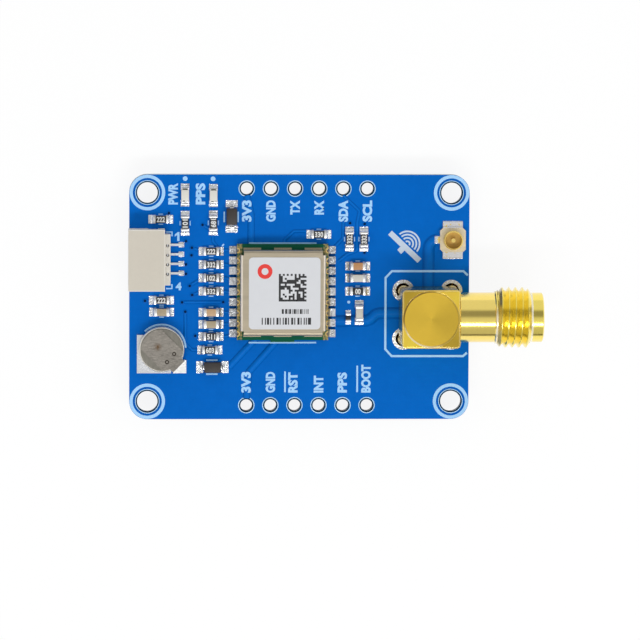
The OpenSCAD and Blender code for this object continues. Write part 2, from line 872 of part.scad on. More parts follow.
// The round hollow in the top of the block, with a bevelled mouth, that the cap is pressed into
module cap_recess() {
    on_jack(cap_top) rotate_extrude() polygon([
        [0, -cap_t],
        [cap_r, -cap_t],
        [cap_r, 0],
        [cap_r + cap_sink, cap_sink],
        [cap_r + cap_sink, cap_sink + over],
        [0, cap_sink + over],
    ]);
}

module jack_cap() {
    color("#dcb850") on_jack(cap_top - cap_t) cylinder(r = cap_r, h = cap_t);
}

// Half section of one ridge of the thread, from its root to its crest
function ridge(start) = [
    [thread_r - thread_depth, start],
    [thread_r, start + (thread_pitch - crest_flat) / 2],
    [thread_r, start + (thread_pitch + crest_flat) / 2],
];

module jack_barrel() {
    thread_start = neck_l + collar_l;
    thread_end = thread_start + thread_l;
    ridges = [for (i = [0 : thread_turns - 1]) each ridge(thread_start + i * thread_pitch)];
    color("#dab64c") on_barrel() rotate_extrude() polygon(concat(
        [
            [insulator_r, -spigot_l],
            [spigot_r, -spigot_l],
            [spigot_r, 0],
            [neck_r, 0],
            [neck_r, neck_l],
            [collar_r, neck_l],
            [collar_r, thread_start],
        ],
        ridges,
        [
            [nose_r, thread_end],
            [nose_r, barrel_l - nose_bevel],
            [nose_r - nose_bevel, barrel_l],
            [mouth_r, barrel_l],
            [mouth_r, barrel_l - mouth_d],
            [insulator_r, barrel_l - mouth_d],
        ]
    ));
}

module jack_insulator() {
    back = block_s / 2 - insulator_back;
    color("#f1efe8") on_barrel() difference() {
        translate([0, 0, -back]) cylinder(r = insulator_r, h = back + barrel_l - recess);
        translate([0, 0, -block_s]) cylinder(r = contact_r, h = block_s + barrel_l);
    }
}

module jack_contact() {
    end = barrel_l - recess;
    back = block_s / 2 + insulator_back;
    color("#d2a63c") difference() {
        on_barrel() difference() {
            translate([0, 0, -back]) cylinder(r = contact_r, h = back + end);
            translate([0, 0, end - contact_bore_d]) cylinder(r = contact_bore_r, h = contact_bore_d + over);
            for (turn = [0, 90])
                rotate([0, 0, turn]) translate([0, 0, end - contact_bore_d])
                    plate(2 * contact_r + over, contact_slot, contact_bore_d + over);
        }
        on_jack(block_z) cylinder(r = pin_r, h = block_h);
    }
}

module jack_pin() {
    color("#d2a63c") on_jack(-leg_below) cylinder(r = pin_r, h = leg_below + axis_z + contact_r);
}

module jack_bead() {
    color("#f1efe8") on_jack(block_z) difference() {
        cylinder(r = bead_r, h = joint_floor - block_z);
        translate([0, 0, -over]) cylinder(r = pin_r, h = block_h);
    }
}

// Solder that stands in a cone on the land under the board and creeps up the hole round a leg
module leg_joint(r) {
    hole_r = r + leg_play;
    rotate_extrude() polygon([
        [r, -leg_below / 2],
        [hole_r + jack_land, 0],
        [hole_r, 0],
        [hole_r, leg_fill + leg_play],
        [r + leg_play / 2, leg_fill],
        [r, leg_fill + leg_play],
    ]);
}

module jack_solder() {
    color("#cfd1d6") {
        at_jack_legs() leg_joint(leg_r);
        on_jack(0) leg_joint(pin_r);
    }
}

// Coaxial receptacle

module on_coax(z) {
    translate([coax_x, coax_y, z]) children();
}

// Side view of a ground tab along +X: from the shell through the base and down to its pad
module ground_outline() {
    outside = coax_w / 2;
    polygon([
        [shell_r - shell_t / 2, shell_in],
        [outside, shell_in],
        [outside, 0],
        [outside + ground_out, 0],
        [outside + ground_out, strip_t],
        [outside + strip_t, strip_t],
        [outside + strip_t, shell_in + strip_t],
        [shell_r - shell_t / 2, shell_in + strip_t],
    ]);
}

module shell_solid() {
    snap_z = coax_h + shell_h / 2 - snap_d;
    top = coax_h + shell_h;
    on_coax(pad_top) {
        rotate_extrude() polygon([
            [shell_r - shell_t, shell_in],
            [shell_r, shell_in],
            [shell_r, snap_z],
            [shell_r - snap_d, snap_z + snap_d],
            [shell_r - snap_d, snap_z + 3 * snap_d],
            [shell_r, snap_z + 4 * snap_d],
            [shell_r, top - snap_d],
            [shell_r - snap_d, top],
            [shell_r - shell_t, top],
        ]);
        for (turn = [90, 270])
            rotate([0, 0, turn]) along_y(ground_w) ground_outline();
    }
}

module contact_solid() {
    on_coax(pad_top) {
        cylinder(r = post_r, h = coax_h + post_h);
        translate([-coax_l / 2 - signal_out, -signal_w / 2, 0])
            cube([coax_l / 2 + signal_out, signal_w, strip_t]);
    }
}

module coax_shell() {
    color("#d9b75a") difference() {
        shell_solid();
        on_coax(pad_top) cylinder(r = shell_r - shell_t, h = 2 * (coax_h + shell_h));
    }
}

module coax_contact() {
    color("#d9b75a") contact_solid();
}

module coax_base() {
    color("#e4dcc8") difference() {
        on_coax(pad_top) linear_extrude(coax_h) polygon([
            [-coax_l / 2, -coax_w / 2 + coax_cut],
            [-coax_l / 2 + coax_cut, -coax_w / 2],
            [coax_l / 2 - coax_cut, -coax_w / 2],
            [coax_l / 2, -coax_w / 2 + coax_cut],
            [coax_l / 2, coax_w / 2 - coax_cut],
            [coax_l / 2 - coax_cut, coax_w / 2],
            [-coax_l / 2 + coax_cut, coax_w / 2],
            [-coax_l / 2, coax_w / 2 - coax_cut],
        ]);
        coax_shell();
        contact_solid();
    }
}

// Pads and solder of the socket, the battery and the receptacle
module connector_solder() {
    pad_w = contact_w + 3 * pad_margin;
    color("#d9dbe0") {
        on_socket() {
            for (i = [0 : contact_count - 1])
                translate([ledge_end + tail_l, contact_y(i), 0])
                    solder_pad(tail_pad, pad_margin, pad_w, contact_t);
            for (y = [-1, 1])
                translate([anchor_x, y * (socket_w - anchor_pad) / 2, 0])
                    plate(anchor_l, anchor_pad, pad_t);
        }
        on_battery(board_t) {
            linear_extrude(pad_t) lower_tab_outline();
            linear_extrude(pad_t) tab_foot_outline();
        }
        on_coax(board_t) {
            for (turn = [90, 270])
                rotate([0, 0, turn]) translate([coax_w / 2 + ground_out, 0, 0])
                    solder_pad(ground_out, pad_margin, ground_w, strip_t);
            rotate([0, 0, 180]) translate([coax_l / 2 + signal_out, 0, 0])
                solder_pad(signal_out, pad_margin, signal_w + 2 * pad_margin, strip_t);
            plate(coax_l / 2, coax_w / 2, pad_t);
        }
    }
}

// Chips: each stands on z = 0 with its length along X

module at_chip(chip, z) {
    translate([chip[2], chip[3], z]) rotate([0, 0, chip[4]]) children();
}

module at_ends(l) {
    for (turn = [0, 180])
        rotate([0, 0, turn]) translate([l / 2, 0, 0]) children();
}

// Flat ceramic with a cap folded round each end
module flat_chip(l, w, h, cap) {
    translate([0, 0, chip_cap_t])
        plate(l - 2 * chip_cap_t, w - 2 * chip_cap_t, h - 2 * chip_cap_t);
    at_ends(l) translate([-cap / 2, 0, 0]) plate(cap, w, h);
}

module resistor() {
    color("#303034") {
        flat_chip(chip_l, chip_w, resistor_h, chip_cap);
        translate([0, 0, resistor_h / 2])
            plate(chip_l - 2 * chip_cap, chip_w - 4 * chip_cap_t, resistor_h / 2);
    }
}

module arrester() {
    color("#303034") flat_chip(arrester_l, arrester_w, arrester_h, arrester_l / 4);
}

// Fired block with rounded edges and a dipped cap on each end
module block_chip(l, w, h) {
    rotate([90, 0, 90]) translate([0, h / 2, -l / 2]) linear_extrude(l) round_rect(w, h, chip_edge_r);
}

module capacitor() {
    color("#c9a27a") {
        translate([0, 0, chip_cap_t])
            block_chip(chip_l - 2 * chip_cap_t, chip_w - 2 * chip_cap_t, capacitor_h - 2 * chip_cap_t);
        at_ends(chip_l) translate([-chip_cap / 2, 0, 0]) block_chip(chip_cap, chip_w, capacitor_h);
    }
}

module lamp() {
    color("#efead8") {
        difference() {
            plate(chip_l, chip_w, lamp_base_h);
            at_ends(chip_l) translate([0, 0, pad_t]) cylinder(r = lamp_hollow_r, h = lamp_base_h);
        }
        translate([0, 0, lamp_base_h]) plate(lamp_lens_l, chip_w, lamp_lens_h);
    }
}

// Side view of a diode's lead: out of the body at half height and down to a flat end
module lead_outline() {
    out = diode_span / 2;
    bend = out - lead_foot;
    polygon([
        [0, diode_h / 2],
        [bend, diode_h / 2],
        [bend, 0],
        [out, 0],
        [out, lead_t],
        [bend + lead_t, lead_t],
        [bend + lead_t, diode_h / 2 + lead_t],
        [0, diode_h / 2 + lead_t],
    ]);
}

module diode() {
    half_w = diode_w / 2;
    color("#2c2a2b") {
        rotate([90, 0, 90]) translate([0, 0, -diode_l / 2]) linear_extrude(diode_l) polygon([
            [diode_draft - half_w, pad_t],
            [half_w - diode_draft, pad_t],
            [half_w, diode_h / 2],
            [half_w - diode_draft, diode_h],
            [diode_draft - half_w, diode_h],
            [-half_w, diode_h / 2],
        ]);
        for (turn = [0, 180])
            rotate([0, 0, turn]) along_y(lead_w) lead_outline();
    }
}

module chip_body(kind) {
    if (kind == "resistor") resistor();
    if (kind == "capacitor") capacitor();
    if (kind == "arrester") arrester();
    if (kind == "lamp") lamp();
    if (kind == "diode") diode();
}

module chip_pads(kind) {
    wide = chip_w + pad_margin;
    if (kind == "resistor") at_ends(chip_l) solder_pad(chip_cap, pad_out, wide, resistor_h * low_climb);
    if (kind == "capacitor") at_ends(chip_l) solder_pad(chip_cap, pad_out, wide, capacitor_h * tall_climb);
    if (kind == "lamp") at_ends(chip_l) solder_pad(chip_cap, lamp_pad_out, wide, lamp_base_h * low_climb);
    if (kind == "arrester")
        at_ends(arrester_l) solder_pad(arrester_l / 4, arrester_pad_out, arrester_w, arrester_h / 2);
    if (kind == "diode") at_ends(diode_span) solder_pad(lead_foot, diode_pad_out, diode_pad_w, lead_t);
}

module chip_solder() {
    color("#d9dbe0") for (chip = CHIPS)
        at_chip(chip, board_t) chip_pads(chip[1]);
}

circuit_board();
mount_linings();
header_linings();
jack_linings();
module_board();
module_linings();
module_shield();
module_label();
receiver_chip();
oscillator();
band_filter();
preamplifier();
module_solder();
socket_housing();
socket_anchors();
battery_cell();
battery_upper_tab();
battery_lower_tab();
jack_block();
jack_barrel();
jack_insulator();
jack_contact();
jack_pin();
jack_bead();
jack_cap();
jack_solder();
coax_base();
coax_shell();
coax_contact();
chip_solder();
connector_solder();
for (i = [0 : contact_count - 1])
    socket_contact(i);
for (chip = CHIPS)
    at_chip(chip, pad_top) chip_body(chip[1]);
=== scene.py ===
import math
import random

import bmesh
import bpy
from mathutils import Matrix, Vector


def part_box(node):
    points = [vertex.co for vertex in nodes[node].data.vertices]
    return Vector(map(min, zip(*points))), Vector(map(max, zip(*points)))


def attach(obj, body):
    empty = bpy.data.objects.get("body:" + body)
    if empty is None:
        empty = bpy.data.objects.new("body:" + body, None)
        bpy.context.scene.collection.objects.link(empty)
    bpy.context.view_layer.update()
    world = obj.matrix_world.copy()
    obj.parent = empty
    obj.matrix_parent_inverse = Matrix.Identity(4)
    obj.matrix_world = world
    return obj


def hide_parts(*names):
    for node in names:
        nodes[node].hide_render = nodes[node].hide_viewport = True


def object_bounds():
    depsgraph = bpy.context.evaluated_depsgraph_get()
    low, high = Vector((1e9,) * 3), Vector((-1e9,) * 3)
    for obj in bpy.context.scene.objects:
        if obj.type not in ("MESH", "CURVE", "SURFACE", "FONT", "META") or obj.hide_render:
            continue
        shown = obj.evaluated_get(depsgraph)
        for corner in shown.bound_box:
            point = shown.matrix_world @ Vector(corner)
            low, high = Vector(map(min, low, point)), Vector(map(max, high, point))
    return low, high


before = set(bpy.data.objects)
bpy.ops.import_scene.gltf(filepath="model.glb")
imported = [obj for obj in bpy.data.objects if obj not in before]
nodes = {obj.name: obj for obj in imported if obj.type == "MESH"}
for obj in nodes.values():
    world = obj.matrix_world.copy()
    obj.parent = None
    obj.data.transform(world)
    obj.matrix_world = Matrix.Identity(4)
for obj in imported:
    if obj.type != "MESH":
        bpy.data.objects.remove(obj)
cad_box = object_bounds()


# Circuit board: a sheet of glass epoxy, 1.6 mm thick, with copper on both faces under a
# glossy blue solder mask. It is routed out of a panel, so its edge shows bare greenish laminate.

MM = 0.001  # sizes are in mm and become metres by this
board_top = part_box("circuit_board")[1].z / MM
mask_blue = (0.0, 0.134, 0.56, 1)
laminate_dark = (0.3, 0.4, 0.36, 1)
laminate_pale = (0.46, 0.58, 0.54, 1)
weave_pitch = 0.55
edge_skin = 0.03


def put(tree, kind, inputs=None, **settings):
    """A new node in a tree. Settings are its options, inputs are values or sockets by name."""
    node = tree.nodes.new(kind)
    for key, value in settings.items():
        setattr(node, key, value)
    for key, value in (inputs or {}).items():
        if isinstance(value, bpy.types.NodeSocket):
            tree.links.new(value, node.inputs[key])
        else:
            node.inputs[key].default_value = value
    return node


def calc(tree, operation, first, second=0.0):
    """The output of a Math node on one or two values or sockets."""
    return put(tree, "ShaderNodeMath", {0: first, 1: second}, operation=operation).outputs[0]


def mix(tree, share, first, second):
    """The colour at a share of the way between two colours or sockets."""
    return put(tree, "ShaderNodeMix", {0: share, 6: first, 7: second}, data_type="RGBA").outputs[2]


def scaled(tree, colour, level):
    """A colour made brighter or darker by a level."""
    return put(tree, "ShaderNodeVectorMath", {0: colour, "Scale": level}, operation="SCALE").outputs[0]


def place_on(tree):
    """Where a point of the surface lies on its object, in metres."""
    return put(tree, "ShaderNodeTexCoord").outputs["Object"]


def part_of(tree, vector, axis):
    """One axis of a vector."""
    return put(tree, "ShaderNodeSeparateXYZ", {0: vector}).outputs[axis]


def each_way(value):
    """A value for each axis, from one for all of them or from three."""
    return value if isinstance(value, tuple) else (value,) * 3


def speckle(tree, fineness, detail=2.0):
    """Noise over the surface, with its fineness for all axes or for each."""
    spread_out = put(tree, "ShaderNodeMapping", {"Vector": place_on(tree), "Scale": each_way(fineness)})
    noise = put(tree, "ShaderNodeTexNoise", {"Vector": spread_out.outputs[0], "Scale": 1.0, "Detail": detail})
    return noise.outputs["Fac"]


def group_of(kind, name, inputs, outputs):
    """A node group with sockets by name and type, and what it is given."""
    group = bpy.data.node_groups.new(name, kind)
    for in_out, sockets in (("INPUT", inputs), ("OUTPUT", outputs)):
        for label, content in sockets.items():
            group.interface.new_socket(label, in_out=in_out, socket_type="NodeSocket" + content)
    return group, put(group, "NodeGroupInput").outputs


def grain_group():
    """Uneven tone, polish and relief of a real surface, from noise stretched along each axis."""
    group, given = group_of("ShaderNodeTree", "surface_grain", {
        "Colour": "Color", "Tone": "Float", "Roughness": "Float", "Spread": "Float", "Stretch": "Vector",
    }, {"Colour": "Color", "Roughness": "Float", "Height": "Float"})
    spread_out = put(group, "ShaderNodeVectorMath", {
        0: place_on(group), 1: given["Stretch"],
    }, operation="MULTIPLY").outputs[0]
    fine = put(group, "ShaderNodeTexNoise", {
        "Vector": spread_out, "Scale": 1.0, "Detail": 4.0, "Roughness": 0.6,
    }).outputs["Fac"]
    broad = put(group, "ShaderNodeTexNoise", {
        "Vector": spread_out, "Scale": 0.11, "Detail": 2.0, "Roughness": 0.5,
    }).outputs["Fac"]
    swing = calc(group, "SUBTRACT", calc(group, "ADD", fine, broad), 1.0)
    toned = calc(group, "ADD", calc(group, "MULTIPLY", swing, given["Tone"]), 1.0)
    polish = calc(group, "MULTIPLY", swing, given["Spread"])
    put(group, "NodeGroupOutput", {
        "Colour": scaled(group, given["Colour"], toned),
        "Roughness": calc(group, "ADD", given["Roughness"], polish),
        "Height": fine,
    })
    return group


surface_grain = grain_group()


def shown(tree, name):
    """What feeds an input of a material's shader so far."""
    return tree.nodes["Principled BSDF"].inputs[name].links[0].from_socket


def feed(tree, name, value):
    """Links a value to an input of a material's shader."""
    tree.links.new(value, tree.nodes["Principled BSDF"].inputs[name])


def tint(tree, share, colour):
    """Lays a colour over what a material shows so far, by a share from 0 to 1."""
    feed(tree, "Base Color", mix(tree, share, shown(tree, "Base Color"), colour))


def emboss(tree, depth, height):
    """Relief of a depth in mm, from the height of each point."""
    feed(tree, "Normal", put(tree, "ShaderNodeBump", {"Distance": depth * MM, "Height": height}).outputs[0])


def grained(
    name, colour, roughness, metallic=0.0, tone=0.12, spread=0.1, stretch=3000, relief=0.0, specular=0.5,
):
    """A material with the surface grain: stretch is its fineness, for all axes or for each, and
    relief its depth in mm."""
    material = bpy.data.materials.new(name)
    material.use_nodes = True
    tree = material.node_tree
    shader = tree.nodes["Principled BSDF"]
    grain = put(tree, "ShaderNodeGroup", {
        "Colour": colour, "Tone": tone, "Roughness": roughness, "Spread": spread,
    }, node_tree=surface_grain)
    grain.inputs["Stretch"].default_value = each_way(stretch)
    shader.inputs["Metallic"].default_value = metallic
    shader.inputs["Specular IOR Level"].default_value = specular
    feed(tree, "Base Color", grain.outputs["Colour"])
    feed(tree, "Roughness", grain.outputs["Roughness"])
    if relief:
        emboss(tree, relief, grain.outputs["Height"])
    return material


def dress(node, material):
    """Gives a CAD node a material in place of the one it was packed with."""
    if not nodes[node].material_slots:
        nodes[node].data.materials.append(material)
    for entry in nodes[node].material_slots:
        entry.material = material


def mask_material(name, colour, relief):
    """Solder mask over woven glass: gloss with a faint weave and slow changes of tone."""
    material = grained(name, colour, 0.3, tone=0.16, spread=0.1, stretch=900, specular=0.05)
    tree = material.node_tree
    fineness = 2 * math.pi / (20 * weave_pitch * MM)  # a wave of scale 1 repeats after 2 pi / 20
    weave = 0.0
    for axis in ("X", "Y"):
        wave = put(tree, "ShaderNodeTexWave", {
            "Vector": place_on(tree), "Scale": fineness, "Distortion": 0.6,
        }, bands_direction=axis)
        weave = calc(tree, "ADD", wave.outputs["Fac"], weave)
    emboss(tree, relief, weave)
    return material


blue_mask = mask_material("blue_mask", mask_blue, 0.004)
tree = blue_mask.node_tree
height = part_of(tree, place_on(tree), "Z")
above = calc(tree, "GREATER_THAN", height, edge_skin * MM)
below = calc(tree, "LESS_THAN", height, (board_top - edge_skin) * MM)
laminate = mix(tree, speckle(tree, (900, 900, 9000), 3.0), laminate_dark, laminate_pale)
tint(tree, calc(tree, "MULTIPLY", above, below), laminate)
dress("circuit_board", blue_mask)


# Copper tracks: etched strips that the mask follows, so they stand a little proud, with the
# bare gap to the copper pour showing darker on both sides. The two wide ones carry the aerial signal.

sunk = 0.01  # how far strips and prints reach into what they lie on
track_rise = 0.011
gap_rise = 0.005
mask_relief = 0.003
track_blue = (0.002, 0.155, 0.61, 1)
gap_blue = (0.0, 0.112, 0.49, 1)
bare_and_shade_blue = (0.0, 0.045, 0.19, 1)
wide_tracks = [
    [(13.6, -1.78), (13.6, 6.05), (14.6, 6.05)],
    [(3.4, -2.55), (7.3, -2.5), (8.2, -1.7), (13.5, -1.7)],
]
power_tracks = [
    [(-2.2, -4.4), (-5.3, -7.9), (-5.57, -10.7)],
    [(-4.6, -4.4), (-7.4, -7.39)],
    [(-5.57, 10.7), (-5.1, 8.6), (-5.1, 5.4)],
]
signal_tracks = [
    [(-12.01, -1.54), (-12.0, -4.9), (-11.3, -5.58), (-10.6, -5.58)],
    [(-12.35, -0.55), (-8.03, -0.53)],
    [(-10.96, -4.09), (-10.2, -4.16)],
    [(-1.6, 5.4), (-1.6, 6.0), (-0.6, 6.95), (0.9, 6.95)],
    [(4.59, 10.7), (6.3, 9.1), (6.06, 7.9), (6.06, 4.9), (5.0, 4.5), (4.1, 3.8)],
    [(4.59, 8.6), (4.59, 6.2), (3.3, 4.9)],
    [(-11.95, 5.89), (-12.4, 5.42)],
    [(-11.33, 5.2), (-10.3, 4.83)],
    [(-11.95, 3.44), (-12.4, 3.42)],
    [(-11.55, 1.18), (-10.2, 2.03)],
    [(-11.29, 0.22), (-10.2, 0.63)],
    [(-13.74, 8.85), (-13.5, 8.2)],
    [(-10.21, 7.61), (-9.2, 7.0)],
    [(-16.25, -0.39), (-15.3, -0.33)],
    [(-12.04, 9.4), (-12.04, 8.5)],
    [(-9.12, 9.4), (-9.12, 8.5)],
    [(-9.13, 6.9), (-9.13, 5.9), (-8.4, 4.95), (-6.9, 4.92)],
    [(-8.5, 3.43), (-7.6, 3.43), (-6.9, 2.72)],
    [(-8.5, 2.03), (-7.8, 2.03), (-6.9, 1.62)],
    [(-8.5, 0.63), (-6.9, 0.52)],
    [(-8.5, -1.6), (-7.6, -1.6), (-6.9, -1.68)],
    [(-8.5, -2.87), (-6.9, -2.78)],
    [(-8.5, -4.16), (-7.7, -4.16), (-6.9, -3.88)],
]


def end_tree(tree, geometry, material):
    """Ends a tree: its geometry is made real and gets a material."""
    whole = put(tree, "GeometryNodeRealizeInstances", {"Geometry": geometry})
    coated = put(tree, "GeometryNodeSetMaterial", {"Geometry": whole.outputs[0], "Material": material})
    put(tree, "NodeGroupOutput", {"Geometry": coated.outputs[0]})


def ribbon_tree():
    """Strips along paths: mesh edges become curves, their corners are rounded, and a flat
    section runs along them."""
    tree, given = group_of("GeometryNodeTree", "strip_along_path", {
        "Geometry": "Geometry", "Width": "Float", "Thickness": "Float", "Corner": "Float",
        "Smooth": "Bool", "Finish": "Material",
    }, {"Geometry": "Geometry"})
    paths = put(tree, "GeometryNodeMeshToCurve", {"Mesh": given["Geometry"]})
    rounded = put(tree, "GeometryNodeFilletCurve", {
        "Curve": paths.outputs[0], "Radius": given["Corner"], "Limit Radius": True,
    })
    rounded.mode = "POLY"
    rounded.inputs["Count"].default_value = 8
    upright = put(tree, "GeometryNodeSetCurveNormal", {"Curve": rounded.outputs[0]})
    upright.mode = "Z_UP"
    section = put(tree, "GeometryNodeCurvePrimitiveQuadrilateral", {
        "Width": given["Width"], "Height": given["Thickness"],
    })
    strip = put(tree, "GeometryNodeCurveToMesh", {
        "Curve": upright.outputs[0], "Profile Curve": section.outputs[0], "Fill Caps": True,
    })
    shaded = put(tree, "GeometryNodeSetShadeSmooth", {
        "Geometry": strip.outputs[0], "Shade Smooth": given["Smooth"],
    })
    end_tree(tree, shaded.outputs[0], given["Finish"])
    return tree


def new_object(name, data):
    """An object in the scene, at the origin, that holds some data."""
    obj = bpy.data.objects.new(name, data)
    bpy.context.scene.collection.objects.link(obj)
    return obj


def worked_out(obj, tree, values):
    """Runs a node tree on an object, with values by input name, and gives the result as a
    plain object of the same name at the origin."""
    modifier = obj.modifiers.new("make", "NODES")
    modifier.node_group = tree
    for entry in tree.interface.items_tree:
        if entry.item_type == "SOCKET" and entry.in_out == "INPUT" and entry.name in values:
            modifier[entry.identifier] = values[entry.name]
    name = obj.name
    bpy.context.view_layer.update()
    depsgraph = bpy.context.evaluated_depsgraph_get()
    mesh = bpy.data.meshes.new_from_object(obj.evaluated_get(depsgraph))
    bpy.data.objects.remove(obj)
    mesh.name = name
    return new_object(name, mesh)


def path_object(name, paths, z):
    """An object of bare edges along paths of (x, y) in mm. A path that ends where it starts is closed."""
    points, edges = [], []
    for path in paths:
        closed = path[0] == path[-1]
        run = path[:-1] if closed else path
        first = len(points)
        points += [(x * MM, y * MM, z * MM) for x, y in run]
        edges += [(first + i, first + i + 1) for i in range(len(run) - 1)]
        if closed:
            edges.append((first + len(run) - 1, first))
    mesh = bpy.data.meshes.new(name)
    mesh.from_pydata(points, edges, [])
    return new_object(name, mesh)


strip_along_path = ribbon_tree()


def strips(name, paths, width, rise, material, corner=0.0, smooth=True):
    """Strips of one width on the board's face, in mm. Smooth ones shade as ridges, others as flat ink."""
    obj = path_object(name, paths, board_top + (rise - sunk) / 2)
    piece = worked_out(obj, strip_along_path, {
        "Width": width * MM, "Thickness": (rise + sunk) * MM, "Corner": corner * MM,
        "Smooth": smooth, "Finish": material,
    })
    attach(piece, "root")
    return piece


track_mask = mask_material("mask_over_tracks", track_blue, mask_relief)
gap_mask = mask_material("mask_over_gaps", gap_blue, mask_relief)
bare_and_shade_mask = mask_material("mask_over_bare_board", bare_and_shade_blue, mask_relief)
for name, paths, width, gap, corner in [
    ("aerial", wide_tracks, 0.85, 0.22, 1.1),
    ("power", power_tracks, 0.6, 0.09, 0.3),
    ("signal", signal_tracks, 0.2, 0.1, 0.3),
]:
    strips(name + "_track_gaps", paths, width + 2 * gap, gap_rise, gap_mask, corner)
    strips(name + "_tracks", paths, width, track_rise, track_mask, corner)


# Through-board vias: drilled and plated links between the two copper faces, each a tiny ring
# under the mask round an open hole, whose depth is drawn as a dark disc of painted shade. They
# are drilled in one pass and not filled.

via_r = 0.27
via_hole_r = 0.14
via_places = [
    (-13.74, 8.85), (-10.21, 7.61), (-11.95, 5.89), (-11.33, 5.2), (-11.36, 4.41), (-11.95, 3.44),
    (-11.95, 2.45), (-11.55, 1.18), (-11.29, 0.22), (-16.25, -0.39), (-12.35, -0.55), (-12.01, -1.54),
    (-8.03, -0.53), (-10.96, -4.09), (5.31, 7.8), (6.85, 7.72), (6.84, 4.69),
]


def copies_tree():
    """Copies of one piece at the points of a mesh, each turned by the point's own angle."""
    tree, given = group_of("GeometryNodeTree", "copies_at_places", {
        "Geometry": "Geometry", "Piece": "Object", "Finish": "Material",
    }, {"Geometry": "Geometry"})
    piece = put(tree, "GeometryNodeObjectInfo", {"Object": given["Piece"]})
    angle = put(tree, "GeometryNodeInputNamedAttribute", {"Name": "turn"}, data_type="FLOAT")
    turned = put(tree, "ShaderNodeCombineXYZ", {"Z": angle.outputs["Attribute"]})
    points = put(tree, "GeometryNodeMeshToPoints", {"Mesh": given["Geometry"]})
    laid = put(tree, "GeometryNodeInstanceOnPoints", {
        "Points": points.outputs[0], "Instance": piece.outputs["Geometry"], "Rotation": turned.outputs[0],
    })
    end_tree(tree, laid.outputs[0], given["Finish"])
    return tree


copies_at_places = copies_tree()


def mesh_of(name, build, smooth=35):
    """A mesh in metres from a function that draws into a bmesh in mm. Edges flatter than
    smooth degrees shade as one surface."""
    bm = bmesh.new()
    build(bm)
    bmesh.ops.remove_doubles(bm, verts=bm.verts, dist=1e-5)
    bmesh.ops.recalc_face_normals(bm, faces=bm.faces)
    bmesh.ops.scale(bm, vec=(MM, MM, MM), verts=bm.verts)
    mesh = bpy.data.meshes.new(name)
    bm.to_mesh(mesh)
    bm.free()
    mesh.shade_smooth()
    mesh.set_sharp_from_angle(angle=math.radians(smooth))
    return mesh


def copies(name, build, places, material):
    """One plain object of copies of a shape at places of (x, y, z in mm, turn in degrees)."""
    model = new_object("model", mesh_of(name, build))
    spots = bpy.data.meshes.new(name)
    spots.from_pydata([(x * MM, y * MM, z * MM) for x, y, z, _ in places], [], [])
    turns = spots.attributes.new("turn", "FLOAT", "POINT")
    turns.data.foreach_set("value", [math.radians(p[3]) for p in places])
    obj = new_object(name, spots)
    piece = worked_out(obj, copies_at_places, {"Piece": model, "Finish": material})
    bpy.data.objects.remove(model)
    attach(piece, "root")
    return piece


def turned_shape(bm, profile, steps, centre=(0, 0), turn=2 * math.pi, start=0.0):
    """Draws a closed profile of (radius, height) points turned round the vertical."""
    tiny = 1e-6
    whole = abs(turn - 2 * math.pi) < tiny
    count = steps if whole else steps + 1
    rings = []
    for i in range(count):
        a = start + turn * i / steps
        rings.append([
            bm.verts.new((centre[0] + r * math.cos(a), centre[1] + r * math.sin(a), z)) for r, z in profile
        ])
    for i in range(steps):
        here, there = rings[i], rings[(i + 1) % count]
        for k in range(len(profile)):
            n = (k + 1) % len(profile)
            on_axis, next_on_axis = profile[k][0] < tiny, profile[n][0] < tiny
            corners = [here[k], there[k], there[n], here[n]]
            if on_axis:
                corners = [here[k], there[n], here[n]]
            if next_on_axis:
                corners = [here[k], there[k], here[n]]
            if not (on_axis and next_on_axis):
                bm.faces.new(corners)
    if not whole:
        bm.faces.new(rings[0])
        bm.faces.new(rings[-1])


def turned_piece(profile, steps):
    """A function that draws a turned shape on the origin."""
    return lambda bm: turned_shape(bm, profile, steps)


both_faces = [(x, y, z, 0) for x, y in via_places for z in (0.0, board_top)]
copies("via_rings", turned_piece([
    (via_hole_r, -0.02), (via_r + 0.05, -0.02), (via_r, 0.012), (via_hole_r, 0.015),
], 20), both_faces, gap_mask)
# Painted shade: a dark disc in each via hole stands for its shadowed depth.
via_shade = grained("via_hole_dark", (0.004, 0.02, 0.07, 1), 0.7, tone=0.4, relief=0.005, specular=0.0)
copies("via_holes", turned_piece([
    (0, -0.014), (via_hole_r, -0.014), (via_hole_r, 0.012), (0, 0.012),
], 20), both_faces, via_shade)


# Legend: pale ink printed through a screen on the mask. It frames the jack, rings the mounting
# holes, marks the chips and names the pins with plain signal names, as on any such board.

ink_rise = 0.02
ink_pale = (0.38, 0.67, 1.0, 1)
legend_ink = grained("legend_ink", ink_pale, 0.62, tone=0.1, spread=0.12, stretch=9000, relief=0.006)
jack_frame = [
    (17.76, 2.3), (17.3, 2.74), (9.75, 2.74), (9.08, 2.05),
    (9.08, -5.5), (9.75, -6.24), (17.3, -6.24), (17.7, -5.9),
]
fine_lines = [
    [(-5.34, 5.68), (1.78, 5.68)],
    [(-5.34, -4.81), (1.78, -4.81)],
    [(-14.03, 6.86), (-13.42, 6.86), (-13.42, 6.4)],
    [(-14.03, 0.9), (-13.42, 0.9), (-13.42, 1.36)],
    [(-7.93, 9.0), (-7.93, 7.9)],
    [(-6.47, 9.0), (-6.47, 7.9)],
    [(-9.8, -6.66), (-8.6, -6.66)],
    [(-9.8, -8.13), (-8.6, -8.13)],
    [(-8.15, 5.38), (-7.95, 5.58)],
]
bars_over_names = [
    [(-1.49, -10.05), (-1.49, -7.85)],
    [(6.13, -10.05), (6.13, -7.25)],
]
header_x, header_y, header_pitch = 0.78, 11.43, 2.54
header_holes = [(header_x + (i - 2.5) * header_pitch, y) for i in range(6) for y in (-header_y, header_y)]
mount_holes = [(x, y) for x in (-16, 16) for y in (-11, 11)]
ring_inner, ring_outer = 1.53, 1.87
battery_arc, battery_arc_inner, battery_arc_outer = (-14.5, -5.43), 2.43, 2.62
battery_arc_start, battery_arc_turn = math.radians(2), math.radians(132)
